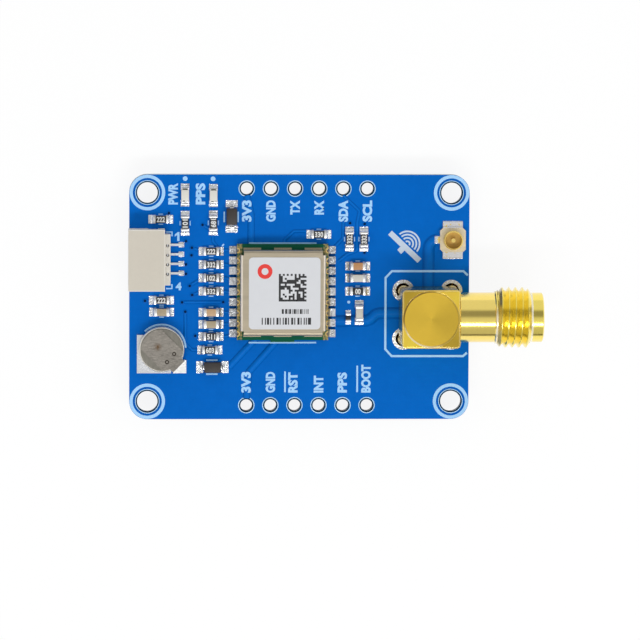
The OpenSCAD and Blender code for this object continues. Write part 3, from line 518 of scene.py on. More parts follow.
pin_names = [
    (-5.57, 10.2, "3V3", 2.25, 1), (-3.03, 10.2, "GND", 2.25, 1), (-0.49, 10.2, "TX", 1.5, 1),
    (2.05, 10.2, "RX", 1.5, 1), (4.59, 10.2, "SDA", 2.25, 1), (7.13, 10.2, "SCL", 2.25, 1),
    (-5.6, -10.1, "3V3", 2.2, 0), (-3.03, -10.1, "GND", 2.2, 0), (-0.66, -10.1, "RST", 2.15, 0),
    (2.05, -10.1, "INT", 1.8, 0), (4.55, -10.1, "PPS", 2.15, 0), (7.05, -10.1, "BOOT", 2.95, 0),
    (-13.3, 12.0, "PWR", 2.25, 1), (-10.43, 12.0, "PPS", 2.25, 1),
]
name_height = 1.02
numeral_one = [
    (0.0, -0.48), (0.24, -0.48), (0.24, 0.46), (0.06, 0.46), (-0.26, 0.2), (-0.26, -0.02), (0.0, 0.14),
]
one_place = (-12.87, 6.39)
four_place, four_size = (-12.72, 1.13), (0.62, 0.85)
ink_dots = [(-12.04, 12.47, 0.25), (-9.11, 12.45, 0.25), (5.21, -0.53, 0.16)]

for name, paths, width in [
    ("legend_frame", [jack_frame], 0.24), ("legend_lines", fine_lines, 0.16),
    ("legend_bars", bars_over_names, 0.18),
]:
    strips(name, paths, width, ink_rise, legend_ink, smooth=False)


def flat_ring(bm, centre, inner, outer, base, rise, steps=64, start=0.0, turn=2 * math.pi):
    """Draws a flat printed ring or arc that stands on base."""
    turned_shape(bm, [
        (inner, base - sunk), (outer, base - sunk), (outer, base + rise), (inner, base + rise),
    ], steps, centre, turn, start)


def legend_rings(bm):
    for centre in mount_holes:
        flat_ring(bm, centre, ring_inner, ring_outer, board_top, ink_rise)
    flat_ring(
        bm, battery_arc, battery_arc_inner, battery_arc_outer, board_top, ink_rise, 48,
        battery_arc_start, battery_arc_turn,
    )
    low, high = board_top - sunk, board_top + ink_rise
    for x, y, r in ink_dots:
        turned_shape(bm, [(0, low), (r, low), (r, high), (0, high)], 20, (x, y))


def one_piece(name, build, material, smooth=35):
    """A single drawn shape as a piece that rides on the board."""
    piece = new_object(name, mesh_of(name, build, smooth))
    piece.data.materials.append(material)
    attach(piece, "root")
    return piece


one_piece("legend_rings", legend_rings, legend_ink)


def lettering(words, wide, high, thick, bold):
    """A flat mesh of words in mm, centred on the origin, wide by high by thick."""
    curve = bpy.data.curves.new("words", "FONT")
    curve.body = words
    curve.offset = bold
    curve.extrude = 0.5
    curve.resolution_u = 3
    obj = new_object("words", curve)
    bpy.context.view_layer.update()
    mesh = bpy.data.meshes.new_from_object(obj.evaluated_get(bpy.context.evaluated_depsgraph_get()))
    bpy.data.objects.remove(obj)
    low = Vector([min(v.co[k] for v in mesh.vertices) for k in range(3)])
    high_corner = Vector([max(v.co[k] for v in mesh.vertices) for k in range(3)])
    span = high_corner - low
    mesh.transform(Matrix.Translation(-(low + high_corner) / 2))
    mesh.transform(Matrix.Diagonal((wide / span.x, high / span.y, thick / span.z, 1)))
    return mesh


def add_words(bm, words, middle, wide, high, thick, base, turn=90, bold=0.05):
    """Draws words into a bmesh, flat on base, turned about their middle."""
    mesh = lettering(words, wide, high, thick, bold)
    mesh.transform(
        Matrix.Translation((middle[0], middle[1], base + thick / 2 - sunk))
        @ Matrix.Rotation(math.radians(turn), 4, "Z")
    )
    bm.from_mesh(mesh)
    bpy.data.meshes.remove(mesh)


def slab(bm, outline, base, rise):
    """Draws a flat polygon of (x, y) points as a slab that stands on base."""
    lower = [bm.verts.new((x, y, base - sunk)) for x, y in outline]
    upper = [bm.verts.new((x, y, base + rise)) for x, y in outline]
    bm.faces.new(lower)
    bm.faces.new(upper)
    for i in range(len(outline)):
        n = (i + 1) % len(outline)
        bm.faces.new((lower[i], lower[n], upper[n], upper[i]))


def legend_names(bm):
    for x, y, words, long, hangs in pin_names:
        middle = y - long / 2 if hangs else y + long / 2
        add_words(bm, words, (x, middle), long, name_height, ink_rise + sunk, board_top)
    slab(bm, [(x + one_place[0], y + one_place[1]) for x, y in numeral_one], board_top, ink_rise)
    add_words(bm, "4", four_place, *four_size, ink_rise + sunk, board_top, 0)


one_piece("legend_names", legend_names, legend_ink)


# Aerial pictogram: a plain satellite sign in the same ink, a crossbar with a nub and the arcs
# of its signal, where the ink lies thicker and whiter. It tells which end the antenna goes to.

sign_bar = [
    (9.32, 6.58), (9.72, 7.02), (12.85, 4.05), (12.44, 3.62),
    (11.06, 4.93), (10.7, 4.55), (10.3, 4.98), (10.63, 5.33),
]
sign_middle = (11.36, 5.65)
sign_arcs = [(0.16, 0.34), (0.52, 0.7), (0.86, 1.04), (1.2, 1.38)]
arc_start, arc_turn = math.radians(-40), math.radians(170)


def aerial_sign(bm):
    slab(bm, sign_bar, board_top, ink_rise)
    for inner, outer in sign_arcs:
        flat_ring(bm, sign_middle, inner, outer, board_top, ink_rise, 24, arc_start, arc_turn)


thick_ink = grained(
    "thick_ink", (0.56, 0.66, 0.8, 1), 0.62, tone=0.1, spread=0.12, stretch=9000, relief=0.006,
)
one_piece("aerial_sign", aerial_sign, thick_ink)


# Plated holes and solder: bright tin over copper in the mounting, header and jack holes, with
# painted shade down the bore and on the rounded edge where the plating turns into it, and reflowed
# solder on the pads. Both are a little uneven and catch the light in specks.

tin_on_land = (0.5, 0.76, 1.0, 1)
bore_shade_tin = (0.27, 0.28, 0.3, 1)
edge_dark = (0.002, 0.03, 0.075, 1)
flux_and_shade_dark, flux_tan = (0.03, 0.018, 0.008, 1), (0.5, 0.32, 0.13, 1)
flux_start, flux_end = 0.47, 0.62
joint_base = 0.1
bare_inner, bare_outer, bare_rise = 1.29, 1.56, 0.004
land_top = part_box("header_linings")[1].z / MM


def facing(tree, axis):
    """How far the surface faces along an axis, from -1 to 1."""
    return part_of(tree, put(tree, "ShaderNodeTexCoord").outputs["Normal"], axis)


def ramp(tree, value, start, end, low=0.0, high=1.0, kind="LINEAR"):
    """A value that goes from low to high while another goes from start to end."""
    return put(tree, "ShaderNodeMapRange", {
        "Value": value, "From Min": start, "From Max": end, "To Min": low, "To Max": high,
    }, interpolation_type=kind).outputs[0]


bright_tin = grained(
    "bright_tin", (0.82, 0.83, 0.85, 1), 0.26, metallic=1.0,
    tone=0.14, spread=0.16, stretch=5200, relief=0.012,
)
hole_tin = grained(
    "hole_tin", tin_on_land, 0.34, metallic=0.35, tone=0.3, spread=0.16, stretch=4200, relief=0.014,
    specular=0.0,
)
tree = hole_tin.node_tree
# Painted shade down the bore: where the surface faces sideways it is darker.
tint(tree, calc(tree, "LESS_THAN", calc(tree, "ABSOLUTE", facing(tree, "Z")), 0.5), bore_shade_tin)
for node in ("mount_linings", "header_linings"):
    dress(node, hole_tin)
# Painted shade on the rounded edge where the plating turns into each hole.
edge_shade = grained(
    "plated_edge", edge_dark, 0.5, tone=0.8, spread=0.2, stretch=2600, relief=0.01, specular=0.02,
)


def rounded_edge(inner, bore, outer):
    """A function that draws one turn of plating from the land into a hole, a hair above the land."""
    return turned_piece([
        (inner, -0.12), (outer, -0.01), (outer, 0.006), (bore, 0.006), (inner, -0.04),
    ], 48)


def bare_rings(bm):
    for centre in mount_holes:
        flat_ring(bm, centre, bare_inner, bare_outer, board_top, bare_rise)


for name, inner, bore, outer, holes in [
    ("header", 0.62, 0.65, 0.77, header_holes), ("mount", 1.08, 1.14, 1.22, mount_holes),
]:
    places = [(x, y, land_top, 0) for x, y in holes]
    copies(name + "_hole_edges", rounded_edge(inner, bore, outer), places, edge_shade)
one_piece("mount_bare_rings", bare_rings, gap_mask)
reflowed_solder = grained(
    "reflowed_solder", (0.8, 0.81, 0.83, 1), 0.24, metallic=1.0,
    tone=0.9, spread=0.3, stretch=5200, relief=0.05,
)
for node in ("chip_solder", "connector_solder", "jack_linings"):
    dress(node, reflowed_solder)
joint_solder = grained(
    "joint_solder", (0.7, 0.71, 0.73, 1), 0.28, metallic=1.0, tone=0.3, spread=0.2, relief=0.03,
)
# Above the board's underside the joint is painted in flux browns that also stand for painted shade in the
# hole round each leg.
tree = joint_solder.node_tree
in_hole = calc(tree, "GREATER_THAN", part_of(tree, place_on(tree), "Z"), joint_base * MM)
height = shown(tree, "Base Color").node.outputs["Height"]
flux_and_shade = mix(tree, ramp(tree, height, flux_start, flux_end), flux_and_shade_dark, flux_tan)
tint(tree, in_hole, flux_and_shade)
dress("jack_solder", joint_solder)


# Receiver module: a small green board with gilt half-holes along two sides, soldered to rows of
# pads. The board has no copper between those pads, and the darker mask there is also painted
# shade between the pads. Flux has left brown smears along the half-holes.

rows_low, rows_high = (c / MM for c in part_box("module_solder"))
module_low, module_high = (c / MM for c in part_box("module_board"))
row_inset = 0.06
hole_reach = 0.55
module_green = (0.007, 0.105, 0.055, 1)
flux_brown = (0.5, 0.37, 0.16, 1)
smear_start, smear_end, smear_share = 0.36, 0.6, 0.9


def off_from(tree, value, middle):
    """How far a coordinate lies from a middle in mm, either way, in metres."""
    return calc(tree, "ABSOLUTE", calc(tree, "SUBTRACT", value, middle * MM))


# Dark strips along the pad rows: bare board without copper, with painted shade between the pads.
for name, inner, outer in [("left", module_low.x, rows_low.x), ("right", module_high.x, rows_high.x)]:
    middle = (inner + outer) / 2
    row = [(middle, rows_low.y + row_inset), (middle, rows_high.y - row_inset)]
    width = abs(outer - inner) - 2 * row_inset
    strips(name + "_pad_row", [row], width, bare_rise, bare_and_shade_mask)
row_solder = grained(
    "row_solder", (0.5, 0.51, 0.53, 1), 0.28, metallic=1.0, tone=0.95, spread=0.3, stretch=4600, relief=0.05,
)
dress("module_solder", row_solder)
green_mask = mask_material("green_mask", module_green, mask_relief)
tree = green_mask.node_tree
off_middle = off_from(tree, part_of(tree, place_on(tree), "X"), (module_low.x + module_high.x) / 2)
by_holes = calc(tree, "GREATER_THAN", off_middle, ((module_high.x - module_low.x) / 2 - hole_reach) * MM)
smears = ramp(tree, speckle(tree, 3200), smear_start, smear_end, 0.0, smear_share)
tint(tree, calc(tree, "MULTIPLY", by_holes, smears), flux_brown)
dress("module_board", green_mask)
half_hole_gilt = grained(
    "half_hole_gilt", (0.83, 0.6, 0.22, 1), 0.25, metallic=1.0,
    tone=0.2, spread=0.12, stretch=6000, relief=0.01,
)
dress("module_linings", half_hole_gilt)


# Shield: nickel silver sheet, 0.15 mm thick, folded down on four sides and soldered by its feet.
# The rolled sheet keeps a fine grain along X, and the two long folds carry a painted highlight.
# The chips under it are hidden.

sheet_tan = (0.45, 0.388, 0.287, 1)
fold_highlight = (0.96, 0.87, 0.74, 1)
fold_start, fold_end, fold_limit = 0.08, 0.4, 0.985
shield_sheet = grained(
    "shield_sheet", sheet_tan, 0.44, metallic=1.0,
    tone=0.22, spread=0.14, stretch=(500, 9000, 9000), relief=0.006,
)
tree = shield_sheet.node_tree
# Painted highlight on the two long folds, where the sheet leans.
leaning = calc(tree, "ABSOLUTE", facing(tree, "X"))
not_upright = calc(tree, "LESS_THAN", leaning, fold_limit)
on_fold = calc(tree, "MULTIPLY", not_upright, ramp(tree, leaning, fold_start, fold_end))
tint(tree, on_fold, fold_highlight)
dress("module_shield", shield_sheet)
hidden_compound = grained("hidden_compound", (0.02, 0.02, 0.022, 1), 0.55, relief=0.006)
hidden_can = grained("hidden_can", (0.62, 0.62, 0.6, 1), 0.35, metallic=1.0, relief=0.004)
hidden_ceramic = grained("hidden_ceramic", (0.6, 0.54, 0.42, 1), 0.5, relief=0.006)
for node, material in [
    ("receiver_chip", hidden_compound), ("preamplifier", hidden_compound),
    ("oscillator", hidden_can), ("band_filter", hidden_ceramic),
]:
    dress(node, material)


# Label: matt white paper stuck on the shield and printed in black, with a code field of small
# squares, rows of bars and a red ring. The prints are patterns that say nothing.

label_low, label_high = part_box("module_label")
label_top = label_high.z / MM
label_x, label_y = ((label_low + label_high) / 2 / MM).xy
print_rise = 0.004
code_cells = 14
code_side = 2.9
code_middle = (0.83 + label_x, 0.6 + label_y)
red_ring, red_inner, red_outer = (label_x - 2.07, label_y + 2.3), 0.36, 0.78
label_paper = grained(
    "label_paper", (0.7, 0.71, 0.735, 1), 0.55, tone=0.05, spread=0.06, stretch=14000, relief=0.004,
)
dress("module_label", label_paper)
print_black = grained("print_black", (0.018, 0.018, 0.02, 1), 0.6, tone=0.3, stretch=12000, relief=0.002)
print_red = grained("print_red", (0.8, 0.035, 0.025, 1), 0.5, tone=0.12, stretch=12000, relief=0.002)


def label_code(bm):
    draw = random.Random(7)
    cell = code_side / code_cells
    last = code_cells - 1
    for row in range(code_cells):
        for column in range(code_cells):
            on_frame = column == 0 or row == 0
            on_clock = (row == last and column % 2 == 0) or (column == last and row % 2 == 0)
            inside = 0 < row < last and 0 < column < last
            filled = draw.random() < 0.5
            if on_frame or on_clock or (inside and filled):
                x = code_middle[0] - code_side / 2 + column * cell
                y = code_middle[1] - code_side / 2 + row * cell
                slab(bm, [(x, y), (x + cell, y), (x + cell, y + cell), (x, y + cell)], label_top, print_rise)


def label_bars(bm):
    draw = random.Random(11)
    for left, right, middle, high, fine in [(-0.3, 2.55, -1.9, 0.5, 0.07), (-2.4, 2.75, -2.92, 0.72, 0.11)]:
        x = label_x + left
        while x < label_x + right:
            wide = fine * draw.choice((1, 1, 2, 3))
            low, top = label_y + middle - high / 2, label_y + middle + high / 2
            slab(bm, [(x, low), (x + wide, low), (x + wide, top), (x, top)], label_top, print_rise)
            x += wide + fine * draw.choice((1, 1, 2))


one_piece("label_code", label_code, print_black)
one_piece("label_bars", label_bars, print_black)
one_piece("label_ring", lambda bm: flat_ring(
    bm, red_ring, red_inner, red_outer, label_top, print_rise,
), print_red)


# Four-way socket: a beige heat-proof moulding with a painted highlight along its side edges and
# over its rear ledge, with two solder anchors in its side walls and four bronze contacts pressed in
# from behind, tinned on their tails. Inside the moulding the contacts are painted dark as shade,
# except in line with the sight holes.

socket_low, socket_high = (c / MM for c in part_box("socket_housing"))
ledge_depth = 0.6
highlight_band = 0.09
band_highlight_share = 0.75
sight_half = 0.07
beige, beige_highlight = (0.64, 0.59, 0.5, 1), (0.8, 0.77, 0.7, 1)
contact_shade = (0.045, 0.03, 0.015, 1)
socket_beige = grained(
    "socket_beige", beige, 0.5, tone=0.07, spread=0.1, stretch=2500, relief=0.012,
)
tree = socket_beige.node_tree
place = place_on(tree)
off_middle = off_from(tree, part_of(tree, place, "Y"), (socket_low.y + socket_high.y) / 2)
# Painted highlight along the two side edges and over the rear ledge.
at_side = calc(tree, "GREATER_THAN", off_middle, ((socket_high.y - socket_low.y) / 2 - highlight_band) * MM)
at_back = calc(tree, "GREATER_THAN", part_of(tree, place, "X"), (socket_high.x - ledge_depth - highlight_band) * MM)
painted_highlight = calc(tree, "MULTIPLY", calc(tree, "MAXIMUM", at_side, at_back), band_highlight_share)
tint(tree, painted_highlight, beige_highlight)
dress("socket_housing", socket_beige)
contact_tin = grained(
    "contact_tin", (0.86, 0.87, 0.89, 1), 0.24, metallic=1.0,
    tone=0.16, spread=0.16, stretch=5200, relief=0.012,
)
tree = contact_tin.node_tree
# Painted shade: inside the moulding the contacts are dark, except in line with the sight holes.
along = part_of(tree, place_on(tree), "X")
inside = calc(tree, "LESS_THAN", along, socket_high.x * MM)
off_sight = off_from(tree, along, socket_high.x - ledge_depth / 2)
shade_inside = calc(tree, "MULTIPLY", inside, calc(tree, "GREATER_THAN", off_sight, sight_half * MM))
tint(tree, shade_inside, contact_shade)
for number in (1, 2, 3, 4):
    dress(f"socket_contact_{number}", contact_tin)
dress("socket_anchors", bright_tin)


# Backup battery: a sealed stainless cell with its two strip terminals spot-welded on. The upper
# strip covers most of the lid and runs down one corner, and its welds show as small rings.

battery_low, battery_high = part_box("battery_cell")
battery_x, battery_y = ((battery_low + battery_high) / 2 / MM).xy
cell_r = (battery_high.x - battery_low.x) / 2 / MM
rim_width = 0.13
strip_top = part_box("battery_upper_tab")[1].z / MM
strip_bend = 0.2
scorch_spot = (-14.92, -5.11, strip_top)
scorch_inner, scorch_outer, scorch_ragged, scorch_share = 0.24, 0.75, 0.5, 0.95
cell_grey, rim_highlight = (0.232, 0.22, 0.188, 1), (0.8, 0.77, 0.7, 1)
strip_grey, strip_tinned = (0.275, 0.253, 0.222, 1), (0.82, 0.81, 0.79, 1)
scorch_brown = (0.13, 0.075, 0.035, 1)


def from_upright(tree, x, y):
    """Distance from an upright axis at x and y in mm, in metres."""
    flat = put(tree, "ShaderNodeVectorMath", {0: place_on(tree), 1: (1, 1, 0)}, operation="MULTIPLY")
    return put(tree, "ShaderNodeVectorMath", {
        0: flat.outputs[0], 1: (x * MM, y * MM, 0),
    }, operation="DISTANCE").outputs["Value"]


cell_steel = grained(
    "cell_steel", cell_grey, 0.4, metallic=1.0, tone=0.5, spread=0.2, stretch=(5000, 1200, 5000), relief=0.01,
)
tree = cell_steel.node_tree
# Painted highlight round the rim of the cell.
on_rim = calc(tree, "GREATER_THAN", from_upright(tree, battery_x, battery_y), (cell_r - rim_width) * MM)
tint(tree, on_rim, rim_highlight)
strip_steel = grained(
    "strip_steel", strip_grey, 0.38, metallic=1.0,
    tone=0.6, spread=0.2, stretch=(2600, 5200, 5000), relief=0.02,
)
tree = strip_steel.node_tree
place = place_on(tree)
from_spot = put(tree, "ShaderNodeVectorMath", {
    0: place, 1: [c * MM for c in scorch_spot],
}, operation="DISTANCE").outputs["Value"]
ragged = calc(tree, "MULTIPLY", speckle(tree, 5000), scorch_ragged * MM)
from_scorch = calc(tree, "ADD", from_spot, ragged)
scorch = ramp(tree, from_scorch, scorch_inner * MM, scorch_outer * MM, scorch_share, 0.0)
tint(tree, scorch, scorch_brown)
tint(tree, calc(tree, "LESS_THAN", part_of(tree, place, "Z"), (strip_top - strip_bend) * MM), strip_tinned)
dress("battery_cell", cell_steel)
dress("battery_upper_tab", strip_steel)
dress("battery_lower_tab", bright_tin)
weld_brown = grained(
    "weld_scorch", (0.045, 0.035, 0.025, 1), 0.5, metallic=0.4, tone=0.5, stretch=9000, relief=0.01,
)
weld_places = [(-13.2, -5.85, strip_top, 0), (-13.95, -6.7, strip_top, 0)]
weld_ring = turned_piece([(0.09, -0.01), (0.24, -0.01), (0.21, 0.012), (0.12, 0.012)], 24)
copies("weld_rings", weld_ring, weld_places, weld_brown)


# Antenna jack, block: a brass cube with four cast legs, machined square, with its upper edges
# broken, and gilt all over. A turned cap is pressed into its top over the joint inside. The broken
# edges, the ring round the cap and a bow across the top carry painted highlight and shade.

jack_low, jack_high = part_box("jack_block")
jack_x, jack_y = ((jack_low + jack_high) / 2 / MM).xy
cap_low, cap_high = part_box("jack_cap")
cap_r = (cap_high.x - cap_low.x) / 2 / MM
cap_ring = 0.17
broken_edge = 0.16
jack_gold = (0.82, 0.55, 0.065, 1)
edge_highlight_gold = (1.0, 0.86, 0.5, 1)
ring_gold, ring_dark = (0.58, 0.4, 0.06, 1), (0.16, 0.085, 0.01, 1)
edge_start, edge_end, edge_share = 0.99, 0.91, 0.9
lit_start, lit_end = 1.55, 1.95
dark_start, dark_end, dark_share = 1.35, 1.9, 0.9
painted_zone_matt_share = 0.65
lathe_fineness, lathe_relief = 16000.0, 0.004


def faced_group():
    """Sheen of a face turned about the jack's upright axis: a fan and a bow of light round the
    axis, lathe lines, and how far a place is from the axis."""
    group, given = group_of("ShaderNodeTree", "faced_sheen", {
        "Fan": "Float", "Fan Towards": "Float", "Bow": "Float", "Bow Towards": "Float",
    }, {"Sheen": "Float", "Lines": "Float", "Radius": "Float"})
    radius = from_upright(group, jack_x, jack_y)
    lines = put(group, "ShaderNodeTexNoise", {
        "W": calc(group, "MULTIPLY", radius, lathe_fineness), "Scale": 1.0, "Detail": 3.0,
    }, noise_dimensions="1D")
    place = place_on(group)
    off_x = calc(group, "SUBTRACT", part_of(group, place, "X"), jack_x * MM)
    off_y = calc(group, "SUBTRACT", part_of(group, place, "Y"), jack_y * MM)
    angle = calc(group, "ARCTAN2", off_y, off_x)
    fan = calc(group, "COSINE", calc(group, "SUBTRACT", angle, given["Fan Towards"]))
    off_bow = calc(group, "SUBTRACT", angle, given["Bow Towards"])
    bow = calc(group, "COSINE", calc(group, "MULTIPLY", off_bow, 2.0))
    fan_part = calc(group, "MULTIPLY", fan, given["Fan"])
    bow_part = calc(group, "MULTIPLY", bow, given["Bow"])
    put(group, "NodeGroupOutput", {
        "Sheen": calc(group, "ADD", calc(group, "ADD", fan_part, bow_part), 1.0),
        "Lines": lines.outputs["Fac"], "Radius": radius,
    })
    return group


faced_sheen = faced_group()


def faced(tree, fan=0.0, fan_towards=0, bow=0.0, bow_towards=0):
    """The sheen in a material: how strong the fan and the bow are, and where each is brightest,
    in degrees."""
    return put(tree, "ShaderNodeGroup", {
        "Fan": fan, "Fan Towards": math.radians(fan_towards),
        "Bow": bow, "Bow Towards": math.radians(bow_towards),
    }, node_tree=faced_sheen).outputs


machined_gilt = grained(
    "machined_gilt", jack_gold, 0.2, metallic=1.0, tone=0.2, spread=0.1, stretch=(900, 900, 6000),
)
tree = machined_gilt.node_tree
softened = put(tree, "ShaderNodeBevel", {"Radius": broken_edge * MM}, samples=6).outputs[0]
feed(tree, "Normal", softened)
lean = put(tree, "ShaderNodeVectorMath", {
    0: softened, 1: put(tree, "ShaderNodeNewGeometry").outputs["Normal"],
}, operation="DOT_PRODUCT").outputs["Value"]
# Painted highlight on the broken edges and a painted bow of sheen across the top face.
on_edge = ramp(tree, lean, edge_start, edge_end, 0.0, edge_share)
top_sheen = faced(tree, bow=0.3, bow_towards=45)
feed(tree, "Base Color", scaled(tree, shown(tree, "Base Color"), top_sheen["Sheen"]))
tint(tree, on_edge, edge_highlight_gold)
# Painted light and shade in the ring round the cap: a lit arc and a shaded arc.
by_cap = calc(tree, "LESS_THAN", top_sheen["Radius"], (cap_r + cap_ring) * MM)
lit_arc = ramp(tree, faced(tree, 1.0, 240)["Sheen"], lit_start, lit_end)
shaded_arc = ramp(tree, faced(tree, 1.0, 142)["Sheen"], dark_start, dark_end, 0.0, dark_share)
ring_tone = mix(tree, shaded_arc, mix(tree, lit_arc, ring_gold, edge_highlight_gold), ring_dark)
tint(tree, by_cap, ring_tone)
painted_zone_matt = calc(tree, "MULTIPLY", calc(tree, "MAXIMUM", by_cap, on_edge), painted_zone_matt_share)
feed(tree, "Metallic", calc(tree, "SUBTRACT", 1.0, painted_zone_matt))
dress("jack_block", machined_gilt)
turned_gilt = grained(
    "turned_gilt", jack_gold, 0.26, metallic=1.0, tone=0.06, spread=0.08, stretch=1500,
)
tree = turned_gilt.node_tree
# Painted sheen on the cap: its colour carries a fan and a bow of light round the axis, over real lathe lines.
cap_sheen = faced(tree, 0.07, 155, 0.06, 80)
emboss(tree, lathe_relief, cap_sheen["Lines"])
feed(tree, "Base Color", scaled(tree, shown(tree, "Base Color"), cap_sheen["Sheen"]))
dress("jack_cap", turned_gilt)


# Antenna jack, barrel: turned from brass bar and gilt, with a plain neck, a collar, the coupling
# thread cut on a lathe as one helix, and a plain nose. It is pressed into the block by its spigot.
# Painted shade lies on the backward flanks by the collar, deeper on the far side, and painted
# highlights on the near half of the collar and round the step to the nose.

barrel_low, barrel_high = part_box("jack_barrel")
axis_z = (barrel_low.z + barrel_high.z) / 2 / MM
barrel_tip = barrel_high.x / MM
block_face = jack_high.x / MM
spigot_end = barrel_low.x / MM
neck_r, collar_r, nose_r = 2.62, 2.76, 2.6
spigot_r, bore_r, mouth_r, mouth_depth = 2.4, 2.06, 2.3, 1.9
thread_r = (barrel_high.z - barrel_low.z) / 2 / MM
thread_pitch = 0.7056
thread_turns = 5
thread_depth, nose_length, collar_length = 0.42, 1.25, 0.25
root_r = thread_r - thread_depth
nose_start = barrel_tip - nose_length
thread_start = nose_start - thread_turns * thread_pitch
collar_start = thread_start - collar_length
nose_chamfer = 0.1
around = 96
crest_start, crest_end = 0.4375, 0.5625
samples = [0.0, 0.15, 0.3, crest_start, 0.5, crest_end, 0.7, 0.85]
lead_slope, lead_rise = 1.3, 0.03
soft_edge = 0.06
neck_gold, thread_gold, pale_highlight_gold = (1.0, 0.77, 0.19, 1), (1.0, 0.8, 0.16, 1), (1.0, 0.93, 0.72, 1)
groove_lit, groove_dark = (0.66, 0.48, 0.09, 1), (0.14, 0.09, 0.015, 1)
groove_reach = 0.45
step_half = 0.11
shade_start, shade_end = 0.4, 1.5
groove_facing, groove_shade_share = -0.35, 0.75
near_highlight_share, matt_share, cut_roughness = 0.9, 0.6, 0.03
nose_step = 0.02


def thread_radius(share, x):
    """Radius of the thread at a share of its pitch, eased off at both ends of the cut."""
    flank = max(0.0, min(1.0, (0.5 - abs(share - 0.5)) / crest_start))
    return min(
        root_r + (thread_r - root_r) * flank,
        root_r + lead_slope * (x - thread_start) + lead_rise,
        nose_r + lead_slope * (nose_start - x) + lead_rise,
    )


def barrel(bm):
    plain_before = [
        (bore_r, spigot_end), (spigot_r, spigot_end), (spigot_r, block_face), (neck_r, block_face),
        (neck_r, collar_start - soft_edge), (neck_r + soft_edge, collar_start),
        (collar_r - soft_edge, collar_start), (collar_r, collar_start + soft_edge),
        (collar_r, thread_start - soft_edge), (collar_r - soft_edge, thread_start),
    ]
    plain_after = [
        (nose_r, nose_start + nose_step), (nose_r, barrel_tip - nose_chamfer),
        (nose_r - nose_chamfer, barrel_tip), (mouth_r + soft_edge, barrel_tip),
        (mouth_r, barrel_tip - soft_edge), (mouth_r, barrel_tip - mouth_depth),
        (bore_r, barrel_tip - mouth_depth), (bore_r, spigot_end),
    ]
    columns = []
    for j in range(around + 1):
        share = j / around
        points = list(plain_before)
        for turn in range(-1, thread_turns):
            for s in samples:
                x = thread_start + (turn + s + share) * thread_pitch
                held = max(thread_start, min(nose_start, x))
                phase = ((held - thread_start) / thread_pitch - share) % 1.0
                points.append((thread_radius(phase, held), held))
        points += plain_after
        angle = 2 * math.pi * share
        columns.append([
            bm.verts.new((x, jack_y + r * math.sin(angle), axis_z + r * math.cos(angle))) for r, x in points
        ])
    for j in range(around):
        here, there = columns[j], columns[j + 1]
        for k in range(len(here) - 1):
            bm.faces.new((here[k], there[k], there[k + 1], here[k + 1]))
    bmesh.ops.remove_doubles(bm, verts=bm.verts, dist=1e-4)
    bmesh.ops.dissolve_degenerate(bm, edges=bm.edges, dist=1e-4)


barrel_gilt = grained(
    "barrel_gilt", neck_gold, 0.17, metallic=1.0,
    tone=0.06, spread=0.08, stretch=(14000, 500, 500), relief=0.004,
)
tree = barrel_gilt.node_tree
place = place_on(tree)
along = part_of(tree, place, "X")
far_side = ramp(
    tree, part_of(tree, place, "Y"), (jack_y + shade_start) * MM, (jack_y + shade_end) * MM,
)
past_neck = calc(tree, "GREATER_THAN", along, collar_start * MM)
cut = calc(tree, "MULTIPLY", past_neck, calc(tree, "LESS_THAN", along, nose_start * MM))
# Painted shade on the backward-facing flanks by the collar, lighter on the near side and dark on the far
# side.
by_collar = calc(tree, "LESS_THAN", along, (thread_start + groove_reach) * MM)
backward = calc(tree, "LESS_THAN", facing(tree, "X"), groove_facing)
groove_shade = calc(tree, "MULTIPLY", calc(tree, "MULTIPLY", cut, by_collar), backward)
tint(tree, past_neck, thread_gold)
tint(tree, calc(tree, "MULTIPLY", groove_shade, groove_shade_share), mix(tree, far_side, groove_lit, groove_dark))
# Painted highlight round the step to the nose and on the near half of the collar.
at_step = calc(tree, "LESS_THAN", off_from(tree, along, nose_start + nose_step), step_half * MM)
on_collar = calc(tree, "MULTIPLY", past_neck, calc(tree, "LESS_THAN", along, thread_start * MM))
near_side = calc(tree, "SUBTRACT", near_highlight_share, calc(tree, "MULTIPLY", far_side, near_highlight_share))
painted_highlight = calc(tree, "MAXIMUM", at_step, calc(tree, "MULTIPLY", on_collar, near_side))
tint(tree, painted_highlight, pale_highlight_gold)
matt = calc(tree, "MULTIPLY", calc(tree, "MAXIMUM", painted_highlight, groove_shade), matt_share)
feed(tree, "Metallic", calc(tree, "SUBTRACT", 1.0, matt))
roughened = calc(tree, "MULTIPLY", cut, cut_roughness)
feed(tree, "Roughness", calc(tree, "ADD", shown(tree, "Roughness"), roughened))
lacquer = tree.nodes["Principled BSDF"].inputs
lacquer["Coat Weight"].default_value = 0.6
lacquer["Coat Roughness"].default_value = 0.16
jack_barrel = one_piece("threaded_barrel", barrel, barrel_gilt, 28)
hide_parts("jack_barrel")


# Antenna jack, inside: a white insulator pressed into the barrel, a gilt centre contact with a
# slotted socket, and an upright pin in a bead that passes through the board.

jack_white = grained(
    "jack_white", (0.82, 0.81, 0.77, 1), 0.42, tone=0.05, spread=0.08, stretch=1800, relief=0.006,
)
for node in ("jack_insulator", "jack_bead"):
    dress(node, jack_white)
contact_gilt = grained(
    "contact_gilt", (0.92, 0.63, 0.15, 1), 0.22, metallic=1.0,
    tone=0.1, spread=0.1, stretch=4000, relief=0.004,
)
for node in ("jack_contact", "jack_pin"):
    dress(node, contact_gilt)


# Small coaxial receptacle: a cream moulding with a gilt drawn shell, two ground tabs and a centre
# post. A press-on plug grips the groove round the shell. Solder has run over the tabs.

